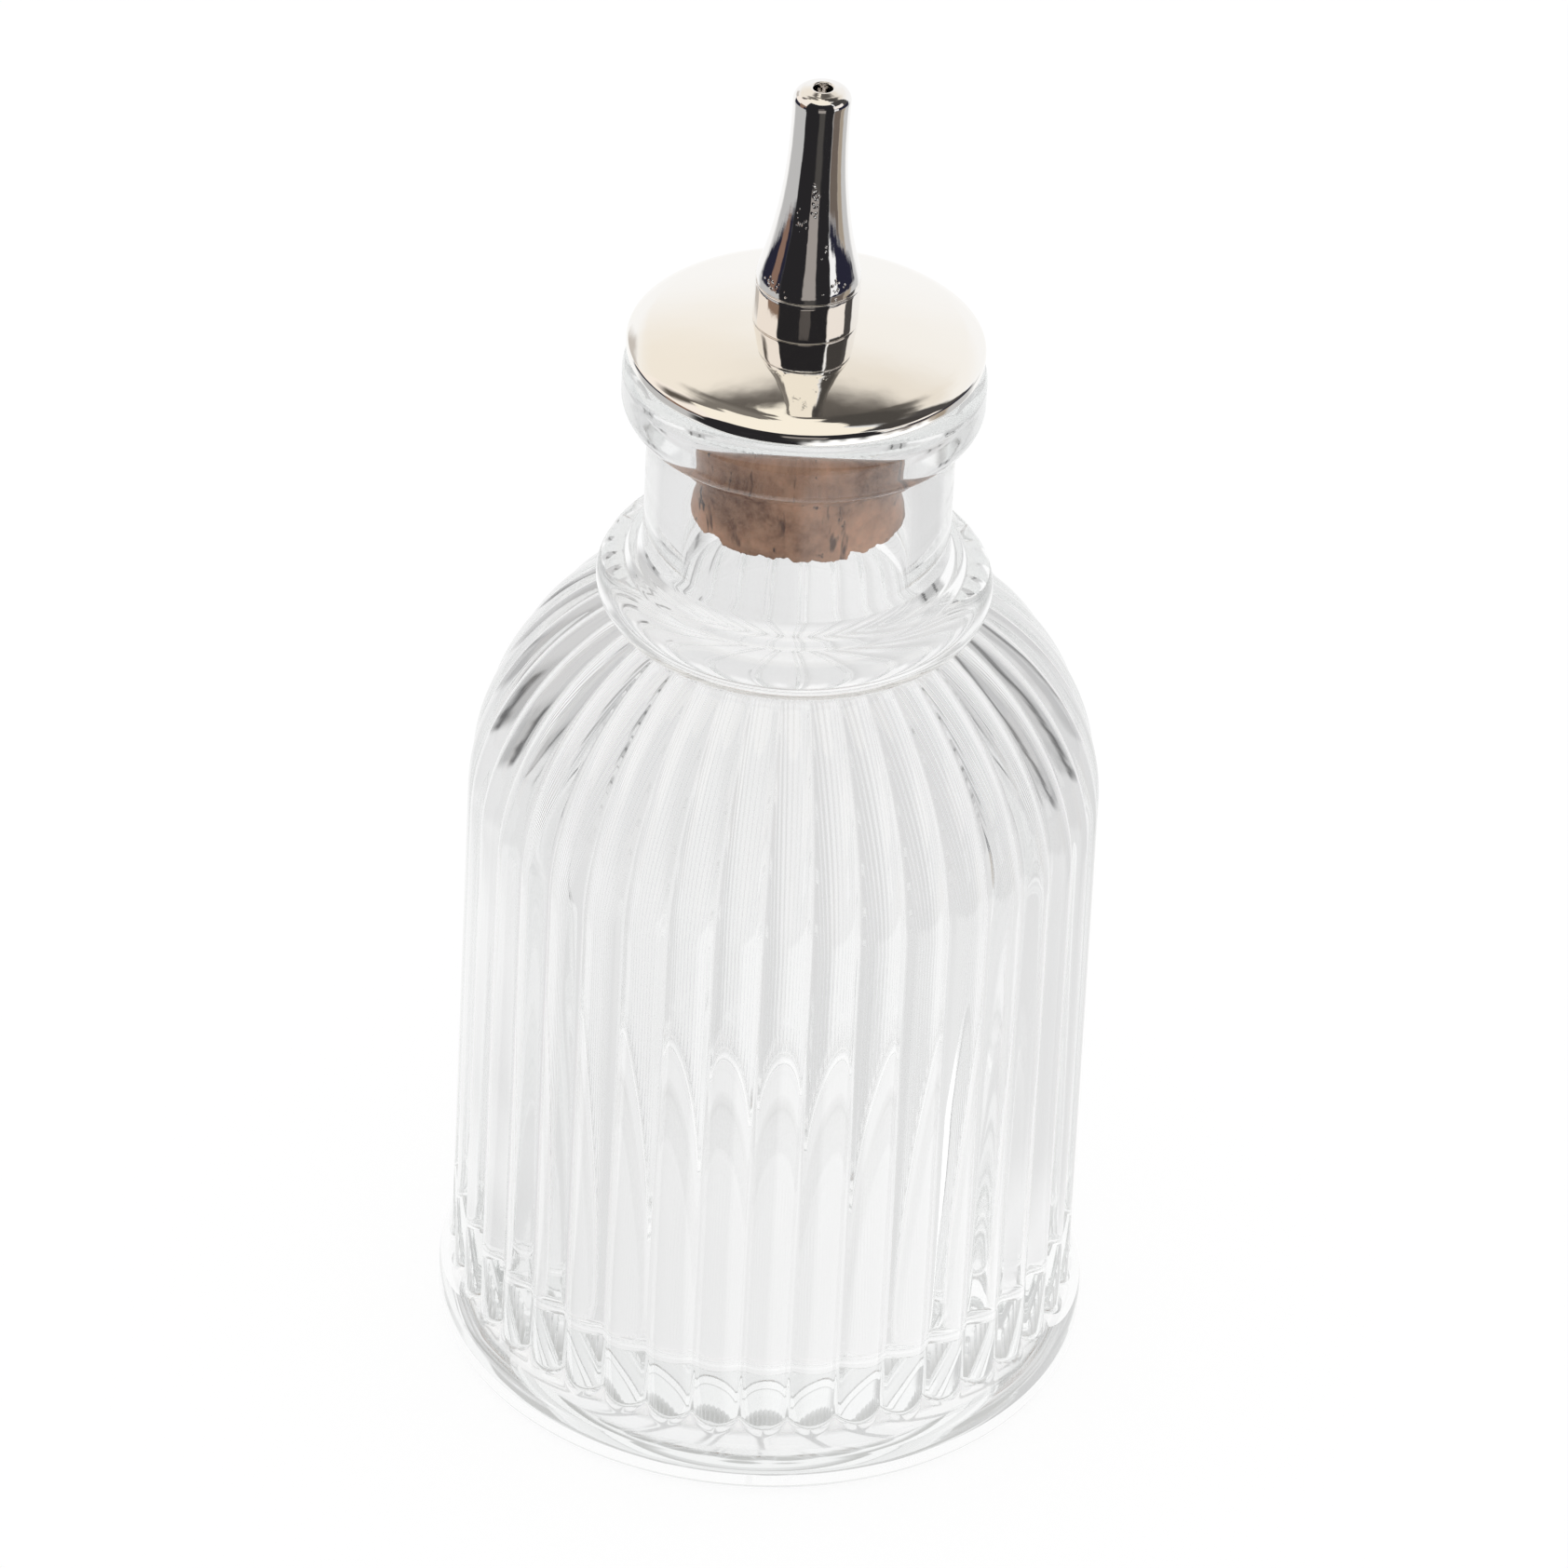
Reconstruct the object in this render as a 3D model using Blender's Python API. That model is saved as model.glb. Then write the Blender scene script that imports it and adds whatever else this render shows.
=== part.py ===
"""A dash bottle: ribbed pressed glass, closed by a drilled cork with a domed metal cap and a nozzle.

Lengths are in metres and +Z is up. The origin is the middle of the foot, on the surface it stands on.
"""

from math import acos, cos, degrees, pi, radians, sin, sqrt

import bmesh
import bpy

# Foot
FOOT_RADIUS = 0.0332
FOOT_EDGE_RADIUS = 0.0020
FOOT_SIDE_HEIGHT = 0.0024
FOOT_TOP_RADIUS = 0.0040
REST_RING_WIDTH = 0.0042
PUNT_RISE = 0.0022

# Ribbed body and shoulder
BODY_RADIUS = 0.0320
BODY_TAPER = 0.0004
SHOULDER_HEIGHT = 0.0634
SHOULDER_RISE = 0.0246
SHOULDER_CURL_SHARE = 1.42
SHOULDER_END_ANGLE = 78
RIB_COUNT = 40
RIB_DEPTH = 0.00115
FRONT_RIB_ANGLE = 2.1

# Collar ring, neck and lip
COLLAR_RADIUS = 0.0196
COLLAR_ROUND = 0.0026
COLLAR_HEIGHT = 0.0892
COLLAR_DISH = 0.0009
NECK_RADIUS = 0.01515
NECK_FILLET = 0.0012
NECK_ROOT = 0.0032
LIP_RADIUS = 0.0178
LIP_BAND = 0.0022
LIP_TOP_ROUND = 0.0021
BOTTLE_HEIGHT = 0.1150

# Inside of the bottle
WALL_THICKNESS = 0.0035
FLOOR_THICKNESS = 0.0115
FLOOR_CORNER_RADIUS = 0.0035
THROAT_RADIUS = 0.0113
SHOULDER_WALL = 0.0026
MOUTH_EDGE_RADIUS = 0.0006

# Cork
CORK_LENGTH = 0.0165
CORK_TOP_RADIUS = 0.0121
CORK_END_RADIUS = 0.0104
CORK_CHAMFER = 0.0006

# Domed cap
CAP_RADIUS = 0.0175
CAP_DOME_RADIUS = 0.0680
CAP_SHOULDER_RADIUS = 0.0050
CAP_SHOULDER_SLOPE = 38
CAP_EDGE_HEIGHT = 0.00105
CAP_EDGE_ROUND = 0.00055
CAP_LOWER_ROUND = 0.0006

# Band at the nozzle's foot
BAND_RADIUS = 0.00515
BAND_HEIGHT = 0.0040
BAND_CHAMFER = 0.0002

# Nozzle
NOZZLE_BASE_RADIUS = 0.00518
NOZZLE_TAPER_HEIGHT = 0.0160
NOZZLE_WAIST_RADIUS = 0.00266
NOZZLE_TAPER_CURVE_SHARE = 1.9
NOZZLE_FLARE = 0.00018
NOZZLE_FLARE_HEIGHT = 0.0037
NOZZLE_TIP_ROUND = 0.0012
NOZZLE_TIP_CROWN = 0.0003
NOZZLE_HOLE_RADIUS = 0.00095
NOZZLE_HOLE_EDGE = 0.0002
SOCKET_DEPTH = 0.0026

# Stem tube through the cork
STEM_RADIUS = 0.0031
STEM_BORE_RADIUS = 0.0019
STEM_BARB = 0.0005
STEM_BARB_COUNT = 3
STEM_BARB_PITCH = 0.0040
STEM_BARB_LENGTH = 0.0020
STEM_FOOT_RADIUS = 0.0050
STEM_FOOT_THICKNESS = 0.0008

# Fits and cuts
SEAT_GAP = 0.0003
OVERRUN = 0.0020
MERGE_DISTANCE = 0.00001

# Fineness of the solids
GLASS_STEPS = 64
CAP_STEPS = 48
CORK_STEPS = 48
NOZZLE_STEPS = 36
STEM_STEPS = 24
STEPS_PER_RIB = 4
SHOULDER_STEPS = 8
NOZZLE_TAPER_STEPS = 9
NOZZLE_FLARE_STEPS = 2
CAP_DOME_STEPS = 4
CAP_SHOULDER_STEPS = 2
CAP_EDGE_STEPS = 2
SHADE_ANGLE = 35


# Heights that follow from the sizes above
cap_underside = BOTTLE_HEIGHT + SEAT_GAP
cap_edge_radius = CAP_RADIUS - CAP_EDGE_ROUND
cap_edge_height = cap_underside + CAP_EDGE_HEIGHT
cap_edge_turn = radians(90 - CAP_SHOULDER_SLOPE)
cap_bend_radius = cap_edge_radius - (CAP_SHOULDER_RADIUS - CAP_EDGE_ROUND) * cos(cap_edge_turn)
cap_bend_height = cap_edge_height - (CAP_SHOULDER_RADIUS - CAP_EDGE_ROUND) * sin(cap_edge_turn)
cap_inner_reach = CAP_DOME_RADIUS - CAP_SHOULDER_RADIUS
cap_sphere_centre = cap_bend_height - sqrt(cap_inner_reach**2 - cap_bend_radius**2)
cap_seat_height = cap_sphere_centre + sqrt(CAP_DOME_RADIUS**2 - BAND_RADIUS**2)
band_bottom = cap_seat_height + SEAT_GAP
band_top = band_bottom + BAND_HEIGHT
nozzle_base = band_top + SEAT_GAP
nozzle_waist_height = nozzle_base + NOZZLE_TAPER_HEIGHT
nozzle_flare_height = nozzle_waist_height + NOZZLE_FLARE_HEIGHT
nozzle_top = nozzle_flare_height + NOZZLE_TIP_ROUND + NOZZLE_TIP_CROWN
cork_top = cap_underside - SEAT_GAP
cork_bottom = cork_top - CORK_LENGTH
stem_top = nozzle_base + SOCKET_DEPTH - SEAT_GAP
stem_hole_radius = STEM_RADIUS + SEAT_GAP
mouth_radius = CORK_TOP_RADIUS + SEAT_GAP


def material(name, colour, roughness, metallic=0.0, transmission=0.0, ior=1.5):
    """A Principled finish."""
    finish = bpy.data.materials.new(name)
    finish.use_nodes = True
    shader = finish.node_tree.nodes["Principled BSDF"]
    shader.inputs["Base Color"].default_value = (*colour, 1)
    shader.inputs["Roughness"].default_value = roughness
    shader.inputs["Metallic"].default_value = metallic
    shader.inputs["Transmission Weight"].default_value = transmission
    shader.inputs["IOR"].default_value = ior
    return finish


def link(name, mesh, finish=None):
    """Puts a mesh into the scene as a named object."""
    piece = bpy.data.objects.new(name, mesh)
    bpy.context.scene.collection.objects.link(piece)
    if finish:
        mesh.materials.append(finish)
    return piece


def arc(centre_radius, centre_height, round_radius, start, end, steps):
    """Points of an arc in the (radius, height) plane, from one angle in degrees to another."""
    points = []
    for i in range(steps + 1):
        turn = radians(start + (end - start) * i / steps)
        points.append((centre_radius + round_radius * cos(turn), centre_height + round_radius * sin(turn)))
    return points


def turned(name, outline, steps, finish=None, closed=False):
    """A piece turned round Z. Its outline runs down the outer side, and if closed, back up the bore."""
    mesh = bpy.data.meshes.new(name)
    count = len(outline)
    edges = [(i, i + 1) for i in range(count - 1)]
    if closed:
        edges.append((count - 1, 0))
    mesh.from_pydata([(radius, 0, height) for radius, height in outline], edges, [])
    piece = link(name, mesh, finish)
    screw = piece.modifiers.new("Turn", "SCREW")
    screw.steps = steps
    screw.render_steps = steps
    screw.use_merge_vertices = True
    screw.merge_threshold = MERGE_DISTANCE
    screw.use_smooth_shade = True
    return piece


def blank(piece):
    """Marks a piece as a helper that only shapes another."""
    piece.hide_render = True
    piece.display_type = "WIRE"
    return piece


def shaped(piece, helper, operation):
    """Joins a helper to the piece, or cuts it away."""
    boolean = piece.modifiers.new(operation.title() + " " + helper.name, "BOOLEAN")
    boolean.operation = operation
    boolean.object = blank(helper)
    boolean.solver = "EXACT"


def shade_by_angle(piece):
    """Smooth shading with the real edges kept sharp, on the finished mesh."""
    graph = bpy.context.evaluated_depsgraph_get()
    mesh = bpy.data.meshes.new_from_object(piece.evaluated_get(graph))
    piece.modifiers.clear()
    piece.data = mesh
    mesh.shade_smooth()
    mesh.set_sharp_from_angle(angle=radians(SHADE_ANGLE))


def shoulder_point(turn, low_radius, top_radius, low_height, rise):
    """A point of the shoulder's curve: full at the body, then drawn in towards the neck."""
    radius = top_radius + (low_radius - top_radius) * cos(turn) ** SHOULDER_CURL_SHARE
    return radius, low_height + rise * sin(turn)


def rib_drop(across_share):
    """How far a rib's arc has dropped, as a share of its depth: 0 is the crest, 1 and -1 the valleys."""
    half_pitch = pi * BODY_RADIUS / RIB_COUNT
    rise_share = RIB_DEPTH / half_pitch
    arc_share = (1 + rise_share**2) / (2 * rise_share)
    return (arc_share - sqrt(arc_share**2 - across_share**2)) / rise_share


def ribbed_ring(crest_radius):
    """The points round one level of the ribbed body. A rib keeps its shape as its pitch narrows."""
    depth = RIB_DEPTH * crest_radius / BODY_RADIUS
    steps = RIB_COUNT * STEPS_PER_RIB
    points = []
    for i in range(steps):
        across = 2 * (i % STEPS_PER_RIB) / STEPS_PER_RIB
        across_share = across if across <= 1 else across - 2
        radius = crest_radius - depth * rib_drop(across_share)
        turn = 2 * pi * i / steps + radians(FRONT_RIB_ANGLE - 90)
        points.append((radius * cos(turn), radius * sin(turn)))
    return points


def ribbed_body():
    """The fluted blank of body and shoulder, lofted through its levels by bridging one ring to the next."""
    shoulder_radius = BODY_RADIUS - BODY_TAPER
    levels = [(BODY_RADIUS, FOOT_EDGE_RADIUS + FOOT_SIDE_HEIGHT + SEAT_GAP)]
    for i in range(SHOULDER_STEPS + 1):
        turn = radians(SHOULDER_END_ANGLE) * i / SHOULDER_STEPS
        levels.append(shoulder_point(turn, shoulder_radius, NECK_RADIUS, SHOULDER_HEIGHT, SHOULDER_RISE))
    mesh = bpy.data.meshes.new("ribbed_body")
    shape = bmesh.new()
    loops = []
    for radius, height in levels:
        ring = [shape.verts.new((x, y, height)) for x, y in ribbed_ring(radius)]
        loops.append([shape.edges.new((ring[i - 1], ring[i])) for i in range(len(ring))])
    for lower, upper in zip(loops, loops[1:]):
        bmesh.ops.bridge_loops(shape, edges=lower + upper)
    bmesh.ops.holes_fill(shape, edges=loops[0] + loops[-1])
    bmesh.ops.recalc_face_normals(shape, faces=shape.faces)
    shape.to_mesh(mesh)
    shape.free()
    return link("ribbed_body", mesh)


def foot():
    """The plain rounded foot, with its resting ring and the hollow punt inside that ring."""
    side_top = FOOT_EDGE_RADIUS + FOOT_SIDE_HEIGHT
    round_centre = FOOT_RADIUS - FOOT_TOP_RADIUS
    ring_outside = FOOT_RADIUS - FOOT_EDGE_RADIUS
    ring_inside = ring_outside - REST_RING_WIDTH
    punt_radius = (ring_inside**2 + PUNT_RISE**2) / (2 * PUNT_RISE)
    outline = [(0, side_top + FOOT_TOP_RADIUS)]
    outline += arc(round_centre, side_top, FOOT_TOP_RADIUS, 90, 0, 6)
    outline += arc(ring_outside, FOOT_EDGE_RADIUS, FOOT_EDGE_RADIUS, 0, -90, 3)
    for i in range(4):
        radius = ring_inside * (1 - i / 3)
        outline.append((radius, PUNT_RISE - punt_radius + sqrt(punt_radius**2 - radius**2)))
    return turned("foot", outline, GLASS_STEPS)


def neck():
    """Lip, neck and collar ring, with a root that reaches into the shoulder wherever the collar sits."""
    shoulder_top = SHOULDER_HEIGHT + SHOULDER_RISE * sin(radians(SHOULDER_END_ANGLE))
    root_bottom = min(shoulder_top, COLLAR_HEIGHT) - NECK_ROOT
    lip_lower = LIP_RADIUS - NECK_RADIUS
    lip_corner = BOTTLE_HEIGHT - LIP_TOP_ROUND
    band_low = lip_corner - LIP_BAND
    collar_centre = COLLAR_RADIUS - COLLAR_ROUND
    collar_top = COLLAR_HEIGHT + COLLAR_ROUND
    fillet_top = collar_top + COLLAR_DISH + NECK_FILLET
    outline = [(0, BOTTLE_HEIGHT)]
    outline += arc(LIP_RADIUS - LIP_TOP_ROUND, lip_corner, LIP_TOP_ROUND, 90, 0, 4)
    outline += arc(NECK_RADIUS, band_low, lip_lower, 0, -90, 4)
    outline += arc(NECK_RADIUS + NECK_FILLET, fillet_top, NECK_FILLET, 180, 270, 2)
    outline += arc(collar_centre, COLLAR_HEIGHT, COLLAR_ROUND, 90, -90, 8)
    outline += [(NECK_RADIUS, COLLAR_HEIGHT - COLLAR_ROUND), (NECK_RADIUS, root_bottom), (0, root_bottom)]
    return turned("neck", outline, GLASS_STEPS)


def cavity():
    """What is cut out: the mouth that grips the cork, the throat, and the hollow with its rounded floor."""
    inner_radius = BODY_RADIUS - WALL_THICKNESS
    cork_taper = (CORK_TOP_RADIUS - CORK_END_RADIUS) / CORK_LENGTH
    throat_top = BOTTLE_HEIGHT - (mouth_radius - THROAT_RADIUS) / cork_taper
    edge_radius = mouth_radius + MOUTH_EDGE_RADIUS
    outline = [(0, BOTTLE_HEIGHT + OVERRUN), (edge_radius, BOTTLE_HEIGHT + OVERRUN)]
    outline += arc(edge_radius, BOTTLE_HEIGHT - MOUTH_EDGE_RADIUS, MOUTH_EDGE_RADIUS, 90, 180, 2)
    outline.append((THROAT_RADIUS, throat_top))
    shoulder_rise = SHOULDER_RISE - SHOULDER_WALL
    for i in range(SHOULDER_STEPS + 1):
        turn = radians(90) * (1 - i / SHOULDER_STEPS)
        outline.append(shoulder_point(turn, inner_radius, THROAT_RADIUS, SHOULDER_HEIGHT, shoulder_rise))
    corner_centre = inner_radius - FLOOR_CORNER_RADIUS
    outline += arc(corner_centre, FLOOR_THICKNESS + FLOOR_CORNER_RADIUS, FLOOR_CORNER_RADIUS, 0, -90, 4)
    outline.append((0, FLOOR_THICKNESS))
    return turned("cavity", outline, GLASS_STEPS)


def glass_bottle(finish):
    """The pressed glass: ribbed body, foot and neck in one, hollowed by the cavity."""
    piece = ribbed_body()
    piece.name = "glass_bottle"
    piece.data.materials.append(finish)
    shaped(piece, foot(), "UNION")
    shaped(piece, neck(), "UNION")
    shaped(piece, cavity(), "DIFFERENCE")
    shade_by_angle(piece)
    return piece


def cork_stopper(finish):
    """The tapered cork, drilled for the stem."""
    bore = STEM_RADIUS + STEM_BARB + SEAT_GAP
    outline = [
        (CORK_TOP_RADIUS - CORK_CHAMFER, cork_top),
        (CORK_TOP_RADIUS, cork_top - CORK_CHAMFER),
        (CORK_END_RADIUS, cork_bottom + CORK_CHAMFER),
        (CORK_END_RADIUS - CORK_CHAMFER, cork_bottom),
        (bore, cork_bottom),
        (bore, cork_top),
    ]
    return turned("cork_stopper", outline, CORK_STEPS, finish, closed=True)


def cap_disc(finish):
    """The domed cap that covers the lip: a shallow sphere, bent down to a small rounded edge, flat below."""
    dome_edge = cap_bend_radius * CAP_DOME_RADIUS / cap_inner_reach
    dome_angle = degrees(acos(cap_bend_radius / cap_inner_reach))
    edge_angle = degrees(cap_edge_turn)
    outline = [(stem_hole_radius, cap_seat_height)]
    for i in range(CAP_DOME_STEPS):
        radius = BAND_RADIUS + (dome_edge - BAND_RADIUS) * i / CAP_DOME_STEPS
        outline.append((radius, cap_sphere_centre + sqrt(CAP_DOME_RADIUS**2 - radius**2)))
    bend = (cap_bend_radius, cap_bend_height, CAP_SHOULDER_RADIUS)
    outline += arc(*bend, dome_angle, edge_angle, CAP_SHOULDER_STEPS)
    outline += arc(cap_edge_radius, cap_edge_height, CAP_EDGE_ROUND, edge_angle, 0, CAP_EDGE_STEPS)[1:]
    lower_round_height = cap_underside + CAP_LOWER_ROUND
    outline += arc(CAP_RADIUS - CAP_LOWER_ROUND, lower_round_height, CAP_LOWER_ROUND, 0, -90, 2)
    outline.append((stem_hole_radius, cap_underside))
    return turned("cap_disc", outline, CAP_STEPS, finish, closed=True)


def nozzle_band(finish):
    """The plain turned ring between cap and nozzle."""
    outline = [
        (BAND_RADIUS - BAND_CHAMFER, band_top),
        (BAND_RADIUS, band_top - BAND_CHAMFER),
        (BAND_RADIUS, band_bottom + BAND_CHAMFER),
        (BAND_RADIUS - BAND_CHAMFER, band_bottom),
        (stem_hole_radius, band_bottom),
        (stem_hole_radius, band_top),
    ]
    return turned("nozzle_band", outline, NOZZLE_STEPS, finish, closed=True)


def dasher_nozzle(finish):
    """The hollow nozzle: a long curved taper, a slight flare, the dash hole, and a socket for the stem."""
    tip_centre = NOZZLE_WAIST_RADIUS + NOZZLE_FLARE - NOZZLE_TIP_ROUND
    outline = arc(tip_centre, nozzle_flare_height, NOZZLE_TIP_ROUND, 80, 0, 4)
    for i in range(1, NOZZLE_FLARE_STEPS + 1):
        down = i / NOZZLE_FLARE_STEPS
        radius = NOZZLE_WAIST_RADIUS + NOZZLE_FLARE * (1 - down) ** 2
        outline.append((radius, nozzle_flare_height - NOZZLE_FLARE_HEIGHT * down))
    widening = NOZZLE_BASE_RADIUS - NOZZLE_WAIST_RADIUS
    for i in range(1, NOZZLE_TAPER_STEPS + 1):
        down = i / NOZZLE_TAPER_STEPS
        radius = NOZZLE_WAIST_RADIUS + widening * down**NOZZLE_TAPER_CURVE_SHARE
        outline.append((radius, nozzle_waist_height - NOZZLE_TAPER_HEIGHT * down))
    outline.append((stem_hole_radius, nozzle_base))
    outline.append((stem_hole_radius, nozzle_base + SOCKET_DEPTH))
    outline.append((STEM_BORE_RADIUS, nozzle_base + SOCKET_DEPTH))
    outline.append((NOZZLE_HOLE_RADIUS, nozzle_top - NOZZLE_HOLE_EDGE))
    outline.append((NOZZLE_HOLE_RADIUS + NOZZLE_HOLE_EDGE, nozzle_top))
    return turned("dasher_nozzle", outline, NOZZLE_STEPS, finish, closed=True)


def stem_tube(finish):
    """The tube that carries the metal top: barbed where the cork grips it, with a flanged end below."""
    outline = [(STEM_RADIUS, stem_top)]
    first_barb = (cork_top + cork_bottom + (STEM_BARB_COUNT - 1) * STEM_BARB_PITCH) / 2
    for i in range(STEM_BARB_COUNT):
        barb_top = first_barb - i * STEM_BARB_PITCH
        outline.append((STEM_RADIUS, barb_top))
        outline.append((STEM_RADIUS + STEM_BARB, barb_top))
        outline.append((STEM_RADIUS, barb_top - STEM_BARB_LENGTH))
    foot_top = cork_bottom - SEAT_GAP
    foot_bottom = foot_top - STEM_FOOT_THICKNESS
    outline += [(STEM_RADIUS, foot_top), (STEM_FOOT_RADIUS, foot_top), (STEM_FOOT_RADIUS, foot_bottom)]
    outline += [(STEM_BORE_RADIUS, foot_bottom), (STEM_BORE_RADIUS, stem_top)]
    return turned("stem_tube", outline, STEM_STEPS, finish, closed=True)


def clear_scene():
    for thing in list(bpy.data.objects):
        bpy.data.objects.remove(thing, do_unlink=True)


def main():
    clear_scene()
    clear_glass = material("clear_glass", (0.97, 0.98, 0.97), 0.02, transmission=1.0, ior=1.52)
    natural_cork = material("natural_cork", (0.42, 0.25, 0.16), 0.85)
    bright_metal = material("bright_metal", (0.83, 0.80, 0.76), 0.06, metallic=1.0)
    glass_bottle(clear_glass)
    stopper = bpy.data.objects.new("stopper", None)
    bpy.context.scene.collection.objects.link(stopper)
    for piece in (
        cork_stopper(natural_cork),
        cap_disc(bright_metal),
        nozzle_band(bright_metal),
        dasher_nozzle(bright_metal),
        stem_tube(bright_metal),
    ):
        piece.parent = stopper


main()
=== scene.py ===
# %% [markdown]
# A dash bottle, dressed for the studio
#
# A dash bottle is a small ribbed glass bottle. Its stopper is a cork with a domed metal cap, and a narrow
# nozzle on the cap lets out a few drops at a time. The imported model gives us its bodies, their sizes and
# the way the stopper moves. Here we give each piece the surface and the fine shape that a close look asks
# for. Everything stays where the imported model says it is.

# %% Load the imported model
from math import acos, asin, cos, degrees, pi, radians, sin, sqrt

import bmesh
import bpy
import numpy as np
from mathutils import Matrix, Vector, noise


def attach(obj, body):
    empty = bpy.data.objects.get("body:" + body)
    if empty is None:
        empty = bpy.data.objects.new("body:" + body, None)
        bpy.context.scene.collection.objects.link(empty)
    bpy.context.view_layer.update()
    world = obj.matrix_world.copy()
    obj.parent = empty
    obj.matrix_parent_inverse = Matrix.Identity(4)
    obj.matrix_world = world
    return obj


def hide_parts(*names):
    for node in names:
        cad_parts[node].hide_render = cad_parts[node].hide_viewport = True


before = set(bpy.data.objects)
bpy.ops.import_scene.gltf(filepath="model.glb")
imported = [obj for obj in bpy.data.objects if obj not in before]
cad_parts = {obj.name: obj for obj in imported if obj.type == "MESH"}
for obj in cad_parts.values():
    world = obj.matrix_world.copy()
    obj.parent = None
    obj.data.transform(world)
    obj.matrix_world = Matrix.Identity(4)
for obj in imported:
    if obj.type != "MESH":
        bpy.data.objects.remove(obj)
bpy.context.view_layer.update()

# %% [markdown]
# Lengths are easier to read in millimetres, which is how a glass maker's drawing gives them. Blender works
# in metres here, so each named length is multiplied once by MM. These are the sizes that several parts of
# the glass share. A size that only one part needs is named beside that part.

# %% Shared sizes of the glass
MM = 0.001

FOOT_RADIUS = 33.2 * MM
FOOT_SIDE_TOP = 4.4 * MM

BODY_RADIUS = 32.0 * MM
SHOULDER_HEIGHT = 63.4 * MM

COLLAR_RADIUS = 19.6 * MM
COLLAR_ROUND = 2.6 * MM
COLLAR_HEIGHT = 89.2 * MM
COLLAR_CENTRE = (COLLAR_RADIUS - COLLAR_ROUND, COLLAR_HEIGHT)
NECK_RADIUS = 15.15 * MM
MOUTH_RADIUS = 12.4 * MM
MOUTH_EDGE = 0.6 * MM
BOTTLE_HEIGHT = 115.0 * MM

print("glass, mm: across", round(2 * FOOT_RADIUS / MM, 1), "high", round(BOTTLE_HEIGHT / MM, 1))

# %% [markdown]
# Every piece of this object was turned, blown or pressed round one axis, so nearly all of them can be drawn
# as a profile and swept round. We keep a profile as a list of (radius, height) points. Most of a profile is
# arcs and straight lines, so these two helpers draw nearly all of it.

# %% Helpers for profiles


def arc(centre, round_radius, start, end, steps):
    """Points along an arc of the (radius, height) plane, its angles in degrees."""
    turns = np.radians(np.linspace(start, end, steps + 1))
    return [(centre[0] + round_radius * cos(t), centre[1] + round_radius * sin(t)) for t in turns]


def line(start, end, steps):
    """Points along a straight line, without its first point."""
    shares = np.linspace(0, 1, steps + 1)[1:]
    return [(start[0] + (end[0] - start[0]) * s, start[1] + (end[1] - start[1]) * s) for s in shares]


print("points of a quarter arc in four steps:", len(arc((0, 0), 1, 0, 90, steps=4)))

# %% [markdown]
# A Screw modifier would sweep a profile round the axis for us. We sweep it ourselves, because then a small
# function can push single points in or out before the mesh is made. That is how the ribs, the chips in the
# cork and the small blisters of the nozzle are made.

# %% Helpers for turned shapes


def ring_angles(count, offset=0.0):
    """Evenly spaced angles round the axis. The camera looks from -Y, so angle 0 there is the front."""
    return np.arange(count) * 2 * pi / count + offset - pi / 2


def grids(profile, columns):
    """The same profile at every angle, as grids of radius and height that a function can then change."""
    points = np.array(profile, float)
    return np.repeat(points[:, :1], columns, 1), np.repeat(points[:, 1:], columns, 1)


def added(name, data):
    """A new object that carries this data, linked to the scene."""
    piece = bpy.data.objects.new(name, data)
    bpy.context.scene.collection.objects.link(piece)
    return piece


def swept(name, radii, heights, angles, closed=False):
    """A mesh from grids of radius and height: one row for each level, one column for each angle.
    A first or last row at radius zero becomes a pole. A closed grid joins its last row to its first."""
    rows, columns = radii.shape
    shape = bmesh.new()
    levels = []
    for r in range(rows):
        if not radii[r].any():
            levels.append([shape.verts.new((0, 0, float(heights[r].mean())))])
            continue
        x, y, z = radii[r] * np.cos(angles), radii[r] * np.sin(angles), heights[r]
        levels.append([shape.verts.new((float(x[c]), float(y[c]), float(z[c]))) for c in range(columns)])
    pairs = list(zip(levels, levels[1:]))
    if closed:
        pairs.append((levels[-1], levels[0]))
    for lower, upper in pairs:
        for c in range(columns):
            d = (c + 1) % columns
            if len(lower) == 1:
                shape.faces.new((lower[0], upper[d], upper[c]))
            elif len(upper) == 1:
                shape.faces.new((lower[c], lower[d], upper[0]))
            else:
                shape.faces.new((lower[c], lower[d], upper[d], upper[c]))
    bmesh.ops.recalc_face_normals(shape, faces=shape.faces)
    for face in shape.faces:
        face.smooth = True
    mesh = bpy.data.meshes.new(name)
    shape.to_mesh(mesh)
    shape.free()
    return added(name, mesh)


print("angles of four columns:", [round(degrees(a)) for a in ring_angles(4)])

# %% [markdown]
# Materials are node trees. Reading a tree as boxes and wires is slow, so we write the maths the way we would
# on paper. A Field is one output of a node, and adding or multiplying fields adds the Math node that does it.

# %% Helper for shader maths


class Field:
    """A node's output, used like a number. An expression on fields adds its Math nodes."""

    def __init__(self, nodes, socket):
        self.nodes = nodes
        self.socket = socket

    def math(self, operation, first, second):
        return self.nodes.add("ShaderNodeMath", {"operation": operation}, {0: first, 1: second})

    def __add__(self, other):
        return self.math("ADD", self, other)

    def __radd__(self, other):
        return self.math("ADD", other, self)

    def __mul__(self, other):
        return self.math("MULTIPLY", self, other)

    def __rmul__(self, other):
        return self.math("MULTIPLY", other, self)

    def at_most(self, other):
        return self.math("MINIMUM", self, other)


# %% [markdown]
# Any other node comes from one method, add. It takes the kind of node, then its settings, then the values or
# fields of its sockets. The few nodes that every finish here needs, such as noise and bump, get a short
# method of their own, so that a finish reads as a recipe.

# %% Helper for node trees


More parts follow.
